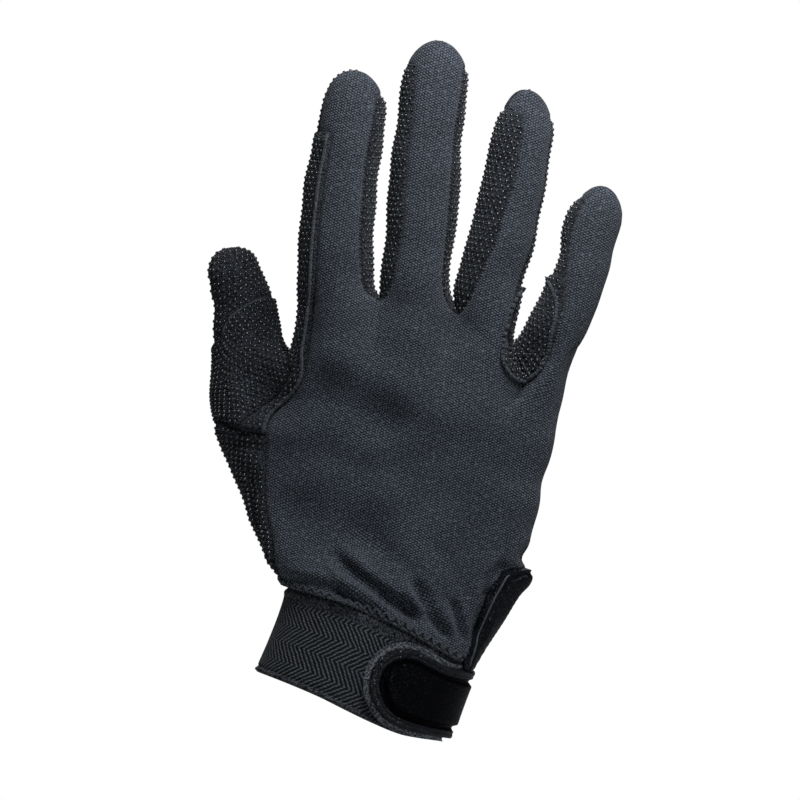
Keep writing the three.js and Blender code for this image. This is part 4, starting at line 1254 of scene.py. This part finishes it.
finger_places = []
for i, numbers in enumerate(finger_numbers):
    last = finger_left + side_steps if i == 0 else finger_left
    row, column, place = lattice_on(both(wrapped(numbers)[:, finger_front:last + 1]))
    if i == 0:
        covered, bare = (face_steps + side_steps * share for share in (0.3, 0.46))
        place = place[(column < covered) | ((row > band_end + 2) & (column < bare))]
    finger_places.append(place)
dots("finger_dots", np.concatenate(finger_places))

strip_places = []
strip_rows = int(np.searchsorted(finger_rows(tip_start["middle"]), strip_end))
for i in range(3):
    right = wrapped(finger_numbers[i])[strip_rows:0:-1, finger_right:finger_front + 1]
    left = wrapped(finger_numbers[i + 1])[:strip_rows, :finger_left - 1:-1]
    row, column, place = lattice_on(both(np.concatenate([right, left])), 0.8)
    if i == 2:
        place = place[(row < len(right) - fork_before) | (row > len(right) + fork_beyond)]
    strip_places.append(place)
dots("strip_dots", np.concatenate(strip_places))

row, column, place = lattice_on(thumb_area, 0.3)
above_sleeve = row > sample(sleeve_top, "row", column) + 1
dots("thumb_dots", place[(column < sleeve_first) | (column > sleeve_last) | above_sleeve])
layer_dots("band_dots", band, 1.2)
layer_dots("fork_dots", fork, 1.2)
layer_dots("sleeve_dots", sleeve, 0.6)

# %% [markdown]
# ## Cuff, closure tab and hook tape
# The cuff is a band of ribbed elastic, open at the little-finger side. The tab is stitched to it on the palm
# side, comes round over the opening and is pressed onto the cuff with hook tape. All three follow the
# same oval of the wrist at growing distances, so one function of the angle and the height places them.

# %% The wrist's oval
def cuff_point(angle, up, proud):
    """Points round the wrist: the cuff's oval at a height, pushed out by proud mm, with the cuff's sag."""
    round_ = np.abs(np.sin(angle)) ** boxiness * np.sign(np.sin(angle))
    wide = (wrist_width / 2 + proud) * sample(cuff_table, "wide", up)
    place = (up * cuff_height - droop(angle, up))[..., None] * wrist_up
    place = place - (wide * np.cos(angle))[..., None] * wrist_across
    place[..., 1] = -(wrist_depth / 2 + proud) * round_
    return place


def grid_normals(points):
    """Outward directions of a grid: its two directions crossed."""
    return unit(np.cross(np.gradient(points, axis=1), np.gradient(points, axis=0)))


# radians from the little-finger side's line to the cuff's two ends, and the share of its height that
# it goes on above the seam, inside the knit
front_gap, back_gap, past_seam = 0.14, 0.04, 0.05
cuff_turn = np.linspace(math.pi + front_gap, 3 * math.pi - back_gap, 260)[None]
cuff_up = np.linspace(0, 1 + past_seam, 62)[:, None]
angle, up = np.broadcast_arrays(cuff_turn, cuff_up)
flat_cuff = cuff_point(angle, up, 0.0)
print("cuff's grid:", flat_cuff.shape)

# %% Ribbed elastic
zigzag_height, rib_pitch, pick_pitch = 0.0057, 0.0017, 0.0008
ribs_middle, ribs_half = 0.0128, 0.0112
elastic, tree, shader = new_finish("ribbed_elastic", 0.75, sheen=0.08, specular=0.25)
flat = add(tree, "ShaderNodeUVMap", uv_map="cut").outputs[0]
place = add(tree, "ShaderNodeSeparateXYZ", {0: flat})
zone = calc(tree, "PINGPONG", place.outputs[1], zigzag_height)
bend = calc(tree, "MULTIPLY", noise(tree, flat, 500.0, 3.0), 0.0011)
slanted = calc(tree, "ADD", calc(tree, "SUBTRACT", place.outputs[0], zone), bend)
wave = calc(tree, "SINE", calc(tree, "MULTIPLY", slanted, 2 * math.pi / rib_pitch))
rib = calc(tree, "POWER", calc(tree, "MULTIPLY_ADD", wave, 0.5, 0.5), 2.0)
picks = calc(tree, "SINE", calc(tree, "MULTIPLY", place.outputs[1], 2 * math.pi / pick_pitch))
rib = calc(tree, "MULTIPLY", rib, calc(tree, "MULTIPLY_ADD", picks, 0.25, 0.75))
plain = calc(tree, "POWER", calc(tree, "SUBTRACT", 1.05, cells(tree, flat, 1500.0)), 2.2)
off_ribs = calc(tree, "ABSOLUTE", calc(tree, "SUBTRACT", place.outputs[1], ribs_middle))
in_ribs = calc(tree, "LESS_THAN", off_ribs, ribs_half)
height = add(tree, "ShaderNodeMix", {0: in_ribs, 2: plain, 3: rib}).outputs[0]
fuzz = noise(tree, flat, 2400.0)
tone = calc(tree, "MULTIPLY", height, calc(tree, "MULTIPLY_ADD", fuzz, 1.4, 0.15))
paint(tree, shader, tone, (0.0005, 0.0007, 0.001), (0.22, 0.24, 0.265))
relief(tree, shader, height, 0.0003)
print("ribs in mm:", rib_pitch * 1000)

# %% Cuff
cuff_edge_round, cuff_wall = 0.9, 1.6
height_mm = up * cuff_height
hem = 0.35 * bump(height_mm, 0.7, 0.6) - 0.35 * bump(height_mm, 1.9, 0.45)
hem += 0.3 * bump(height_mm, cuff_height - 1.6, 0.8)
pull = 0.2 * np.sin(angle * 14 + up * 2) * smooth((up - 0.6) / 0.4)
tuck = 0.7 * smooth((up - 0.96) / 0.05)
rounded = 1 - quarter_round(edge_distance(flat_cuff, (1, 0.01, 1, 1)), cuff_edge_round)
out = grid_normals(flat_cuff)
cuff_top = flat_cuff + out * (hem + pull - tuck - rounded)[..., None]
points, faces = closed_shell(cuff_top, flat_cuff - out * cuff_wall)
cuff_uv = np.stack([lengths_from(flat_cuff, 1), height_mm], axis=-1).reshape(-1, 2)
uv = np.concatenate([cuff_uv, cuff_uv])
made = piece("cuff_band_webbing", points, faces, "elastic", elastic, ["cuff_band"], uv)
cut_cloth(made, top_area(cuff_top, faces), 0.18, 0.031)

# %% Leather
def leather_finish(name, specular, light):
    """Fine-grained leather: cells with dark gaps between them, bent by noise so that no row shows."""
    made, tree, shader = new_finish(name, 0.33, specular=specular)
    place = own_place(tree)
    warp = add(tree, "ShaderNodeTexNoise", {"Vector": place, "Scale": 500.0}).outputs["Color"]
    bent = add(tree, "ShaderNodeMix", {0: 0.0006, 4: place, 5: warp}, data_type="VECTOR").outputs[1]
    gaps = cells(tree, bent, 1300.0, "DISTANCE_TO_EDGE")
    grain = calc(tree, "MINIMUM", calc(tree, "MULTIPLY", gaps, 3.0), 1.0)
    paint(tree, shader, grain, (0.0008, 0.001, 0.002), (light, light * 1.15, light * 1.7))
    relief(tree, shader, calc(tree, "MULTIPLY_ADD", noise(tree, place, 2500.0, 3.0), 0.4, grain), 0.0002)
    return made


pad_leather = leather_finish("pad_leather", 0.06, 0.0018)
# the rim's leather is the pad's leather painted about seven times lighter: a painted highlight for the light
# that the tab's rolled rim catches
rim_leather_painted_light = leather_finish("rim_leather_painted_light", 0.3, 0.013)
binding_leather = leather_finish("binding_leather", 0.16, 0.011)
print("leathers ready")

# %% Hook tape's mesh
hooks, tree, shader = new_finish("hook_tape", 0.8, sheen=0.1, specular=0.4)
place = own_place(tree)
mesh_cells = cells(tree, place, 1500.0)
fuzz = noise(tree, place, 2600.0, 3.0)
tone = calc(tree, "MULTIPLY", calc(tree, "POWER", mesh_cells, 2.0), calc(tree, "MULTIPLY_ADD", fuzz, 4, 0.2))
paint(tree, shader, tone, (0.001, 0.0015, 0.002), (0.29, 0.305, 0.33))
relief(tree, shader, mesh_cells, 0.0003)
print("hook tape ready")

# %% A strap round the wrist
tab_height, tab_rim, tab_groove, tab_pad, tab_edge = 23.0, 1.5, 0.5, 2.1, 0.9
rim_width, groove_width, stitch_margin = 3.4, 1.4, 1.9
hook_base, hook_wall, hook_margin, hook_share = 0.8, 0.7, 1.6, 0.6
tab_base = hook_base + hook_wall + 0.3
tab_free, tab_sewn = 2 * math.pi + float(back_angle(0.55)), 3 * math.pi + 0.62
tab_radius = tab_height / 2
tab_reach = (tab_sewn - tab_free) * (wrist_width + wrist_depth) / 4
tab_low, tab_high = stitch_margin / cuff_height, (stitch_margin + tab_height) / cuff_height


def strap(margin, proud, columns, rows, share=1.0):
    """A strap with a round end on the wrist's oval: each row starts where the round end's circle says and
    runs to the sewn end. Also gives the distance from the strap's edge."""
    across, up = np.linspace(0, share, columns)[None], np.linspace(0, 1, rows)[:, None]
    reach = tab_radius + margin
    height = mix(-reach, reach, smooth(up) * 0.35 + up * 0.65)
    start = reach - np.sqrt(np.maximum(0, reach**2 - height**2)) - margin
    along = mix(start, tab_reach, across**1.25)
    angle = tab_free + along / tab_reach * (tab_sewn - tab_free)
    level = np.clip(mix(tab_low, tab_high, 0.5 + height / tab_height), -0.04, 1.06) + 0 * along
    round_end = reach - np.hypot(height, np.minimum(along + margin - reach, 0))
    edge = np.minimum(reach - np.abs(height), round_end)
    return cuff_point(angle, level, proud), edge


print("tab reach in mm:", round(tab_reach, 1))

# %% Closure tab
tab_skin, edge = strap(0.0, tab_base, 260, 90)
groove = smooth((edge - rim_width * 0.62) / (rim_width * 0.38))
pad = smooth((edge - rim_width - groove_width * 0.3) / groove_width)
lift = mix(mix(tab_rim, tab_groove, groove), tab_pad, pad)
lift -= tab_edge * (1 - quarter_round(edge, tab_edge))
lift -= 0.22 * bump(edge, 1.7, 0.3)
out = grid_normals(tab_skin)
points, faces = closed_shell(tab_skin + out * lift[..., None], tab_skin)
tab_made = piece("closure_tab_leather", points, faces, "leather", pad_leather, ["closure_tab"])
tab_made.data.materials.append(rim_leather_painted_light)
# the rim's faces take the lighter copy of the leather, a painted highlight along the rolled edge
rim_painted_lighter = (edge[1:, 1:] < rim_width * 0.8).ravel()
finish_numbers = np.zeros(len(tab_made.data.polygons), np.int32)
finish_numbers[:len(rim_painted_lighter)] = rim_painted_lighter
tab_made.data.polygons.foreach_set("material_index", finish_numbers)
print("tab:", len(points), "points")

# %% Hook tape
hook_skin, edge = strap(hook_margin, hook_base, 120, 70, hook_share)
out = grid_normals(hook_skin)
rough = 0.12 * np.sin(hook_skin[..., 0] * 5.3) * np.sin(hook_skin[..., 2] * 4.7)
hook_top = hook_skin + out * (hook_wall + rough)[..., None]
points, faces = closed_shell(hook_top, hook_skin)
piece("hook_fastener_tape", points, faces, "hook_tape", hooks, ["hook_fastener"])
tufts = np.concatenate([hook_top, out], axis=-1)
dots("hook_tufts", np.concatenate([tufts[1::2, 1], tufts[::2, 4]]), 0.42, "hook_tape", thread)

# %% [markdown]
# ## Binding of the wrist slit
# The knit's slit edge is bound with a folded strip of leather. It is a band that runs up one side of the
# slit, over its top and down the other, and its section is a flat arch, so its place on the skin comes
# from one number along it and one across it.

# %% Slit binding
def arch(share, middle, half_width, leg, rise):
    """Column and row of a path: up one side, over a half ellipse and down the other side."""
    turn = np.pi * (1 - np.clip((share - leg_share) / top_share, 0, 1))
    legs = np.minimum(np.clip(share / leg_share, 0, 1), np.clip((1 - share) / leg_share, 0, 1))
    return middle + half_width * np.cos(turn), leg * legs + rise * np.sin(turn)


# shares of the path that one leg and the top take up
leg_share, top_share = 0.4, 0.2
roll_height, roll_sunk, binding_sunk = 1.2, 0.4, 0.9
# columns and rows that the vent's grid reaches beyond the slit
vent_left, vent_beyond = 2, 6
vent = both(palm_numbers[:slit_row + vent_beyond, back_columns - vent_left:front_start + 3])
run, wide = np.linspace(0, 1, 200)[:, None], np.linspace(0, 1, 40)[None]
leg = slit_row - arch_rise
outer_column, outer_row = arch(run, vent_left + side_steps / 2, side_steps / 2 + 0.7, leg, arch_rise + 0.6)
inner_column, inner_row = arch(run, vent_left + side_steps * 0.58, side_steps * 0.08, leg - 8, 3.0)
foot_row = 4.0 * np.maximum(0, 1 - np.minimum(run, 1 - run) / 0.1)
place = on_grid(vent, mix(outer_row, inner_row, wide) - foot_row, mix(outer_column, inner_column, wide))
binding_skin, out = place[..., :3], unit(place[..., 3:])
roll = roll_height * np.sqrt(1 - (2 * wide - 1) ** 2) - roll_sunk
ridge = 0.6 * bump(wide, 0.14, 0.05) - 0.5 * bump(wide, 0.28, 0.07)
wrinkle = 0.09 * np.sin(run * 210 + 6 * wide) * bump(wide, 0.6, 0.3)
binding_top = binding_skin + out * (roll + ridge + wrinkle)[..., None]
points, faces = closed_shell(binding_top, binding_skin - out * binding_sunk)
piece("slit_binding_leather", points, faces, "leather", binding_leather, ["slit_binding"])
print("slit binding:", len(points), "points")

# %% [markdown]
# ## Cords, stitches and the fork's spoon
# An overlocked edge is a small round cord wound with thread. A cord here is a tube of rings along a line,
# with a width and a height of its own, and most cords are thicker in even beads. A line that is given only
# as seen from the front gets its depth from the skin's nearest points, with the closest counting most.

# %% Helpers for lines on the glove
cord_sides, bead_swell = 12, 0.24
facing = np.flatnonzero(skin_normals[:, 1] < -0.1)
facing_points, facing_normals = dressed[facing], skin_normals[facing]


def on_front(x, z):
    """Places and outward directions of the glove's front-facing skin at x and z in mm."""
    x, z = np.broadcast_arrays(x, z)
    px, pz = facing_points[:, 0], facing_points[:, 2]
    use = (px > x.min() - 6) & (px < x.max() + 6) & (pz > z.min() - 6) & (pz < z.max() + 6)
    squares = (x.ravel()[:, None] - px[use]) ** 2 + (z.ravel()[:, None] - pz[use]) ** 2
    weight = 1 / (squares + 0.03) ** 2
    weight /= weight.sum(axis=1, keepdims=True)
    depth = weight @ facing_points[use, 1]
    out = unit(weight @ facing_normals[use])
    return stack(x, depth.reshape(x.shape), z), out.reshape(*x.shape, 3)


def cord(name, line, out, half_width, rise, slot, finish, bead=0.0, knob=0.0):
    """A tube along a line of places: out is the outward direction at each. A bead is the length of its
    even swellings in mm, and a knob makes its first end thicker."""
    side = unit(np.cross(unit(np.gradient(line, axis=0)), out))
    at = lengths_from(line)
    end = np.clip(np.minimum(at, at[-1] - at) / half_width, 0.02, 1)
    thick = quarter_round(end, 1) * (1 + knob * bump(at, half_width, 1.0))
    if bead:
        thick = thick * (1 + bead_swell * np.sin(2 * np.pi * at / bead))
    turn = np.arange(cord_sides) * 2 * np.pi / cord_sides
    wide = (half_width * thick)[:, None, None] * np.cos(turn)[:, None] * side[:, None]
    high = (rise * thick)[:, None, None] * np.sin(turn)[:, None] * out[:, None]
    points = line[:, None] + wide + high
    faces = tube_faces(np.arange(len(line) * cord_sides).reshape(-1, cord_sides))
    piece(name, points.reshape(-1, 3), faces, slot, finish)
    print(name, round(float(at[-1]), 1), "mm long")


print("front-facing points:", len(facing))

# %% The fork's spoon
# places as x and z in mm, from the ring finger down round the fork and up the little finger
spoon_line = curve([
    (55, 132.1), (52.1, 127.3), (50.2, 121), (48.8, 114), (49.1, 108), (52.2, 103.5), (56, 102.4),
    (60.4, 105), (63.2, 110), (64.2, 116), (65.8, 123), (66, 128), (63.3, 135),
], 0.3)
lowest_at = int(spoon_line[:, 1].argmin())
spoon_low, spoon_high, spoon_fade = 102.6, 113.2, 2.7
spoon_up = np.linspace(spoon_low, spoon_high, 50)[:, None]
spoon_left = np.interp(spoon_up, spoon_line[lowest_at::-1, 1], spoon_line[lowest_at::-1, 0])
spoon_right = np.interp(spoon_up, spoon_line[lowest_at:, 1], spoon_line[lowest_at:, 0])
spoon, out = on_front(mix(spoon_left, spoon_right, np.linspace(0, 1, 60)), spoon_up)
lift = 1.1 * quarter_round(edge_distance(spoon), 1.2)
lift -= 0.6 * smooth((spoon_up - spoon_high + spoon_fade) / spoon_fade)
layer_dots("spoon_dots", second_layer("fork_spoon", spoon, out, lift, 0.4), 0.8)

line, out = on_front(spoon_line[:, 0], spoon_line[:, 1])
cord("fork_rim_cord", line + 0.7 * out, out, 0.62, 0.7, "grip_fabric", thread, bead=1.1, knob=0.5)

# %% Rims of the other patches
# each cord follows one column or row of its patch's grid, a few steps in from the edge
line, out = (part[:, -5] for part in band[:2])
cord("index_rim_cord", line + 0.1 * out, out, 0.55, 0.5, "grip_fabric", thread, bead=1.2)
line, out = (part[-4, ::-1] for part in sleeve[:2])
cord("thumb_rim_cord", line, out, 0.32, 0.35, "grip_fabric", thread, bead=1.0)

# %% Cuff's overlock
zigzag_step, zigzag_length = 0.4, 3.2
around = np.arange(front_start + 2, ring_columns + back_columns - 1) % ring_columns
seam_area = both(wrapped(palm_numbers))[[0, 2]][:, around]
seam_length = lengths_from(seam_area[0, :, :3])
at = np.arange(0.8, seam_length[-1] - 0.8, zigzag_step)
swing = 0.5 + 0.5 * np.sin(2 * np.pi * at / zigzag_length)
seam_column = np.interp(at, seam_length, np.arange(len(around)))
place = on_grid(seam_area, swing - 0.15, seam_column)
out = unit(place[:, 3:])
cord("cuff_overlock", place[:, :3] + 0.3 * out, out, 0.42, 0.42, "knit", thread)
place = on_grid(seam_area, np.full(len(at), -0.3), seam_column)
out = unit(place[:, 3:])
cord("cuff_seam_roll", place[:, :3] - 0.1 * out, out, 0.45, 0.4, "elastic", thread, bead=1.6)

# %% Piping of the slit binding
piping, tree, shader = new_finish("pale_piping", 0.6, specular=0.3)
paint(tree, shader, noise(tree, own_place(tree), 1200.0, 3.0), (0.03, 0.033, 0.04), (0.15, 0.16, 0.18))
# it runs along the binding's ridge, from the slit's foot up the back's side to where the arch begins
line = binding_top[3:84, 6]
out = unit(line - binding_skin[3:84, 6])
cord("binding_piping", line + 0.15 * out, out, 0.3, 0.3, "leather", piping)

# %% [markdown]
# ## Floor and finish
# The glove is held up by the wrist that fills it, just clear of a plain pale floor. The level camera sees
# that floor edge on.

# %% Floor, below the glove's lowest point
floor_side, floor_gap, floor_tone = 6, 0.002, 0.6
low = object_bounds()[0]
bpy.ops.mesh.primitive_plane_add(size=floor_side, location=(0, 0, low[2] - floor_gap))
floor = bpy.context.object
floor.name = "floor"
floor_finish, tree, shader = new_finish("floor_finish", 0.6)
shader.inputs["Base Color"].default_value = (floor_tone, floor_tone, floor_tone, 1)
floor.data.materials.append(floor_finish)
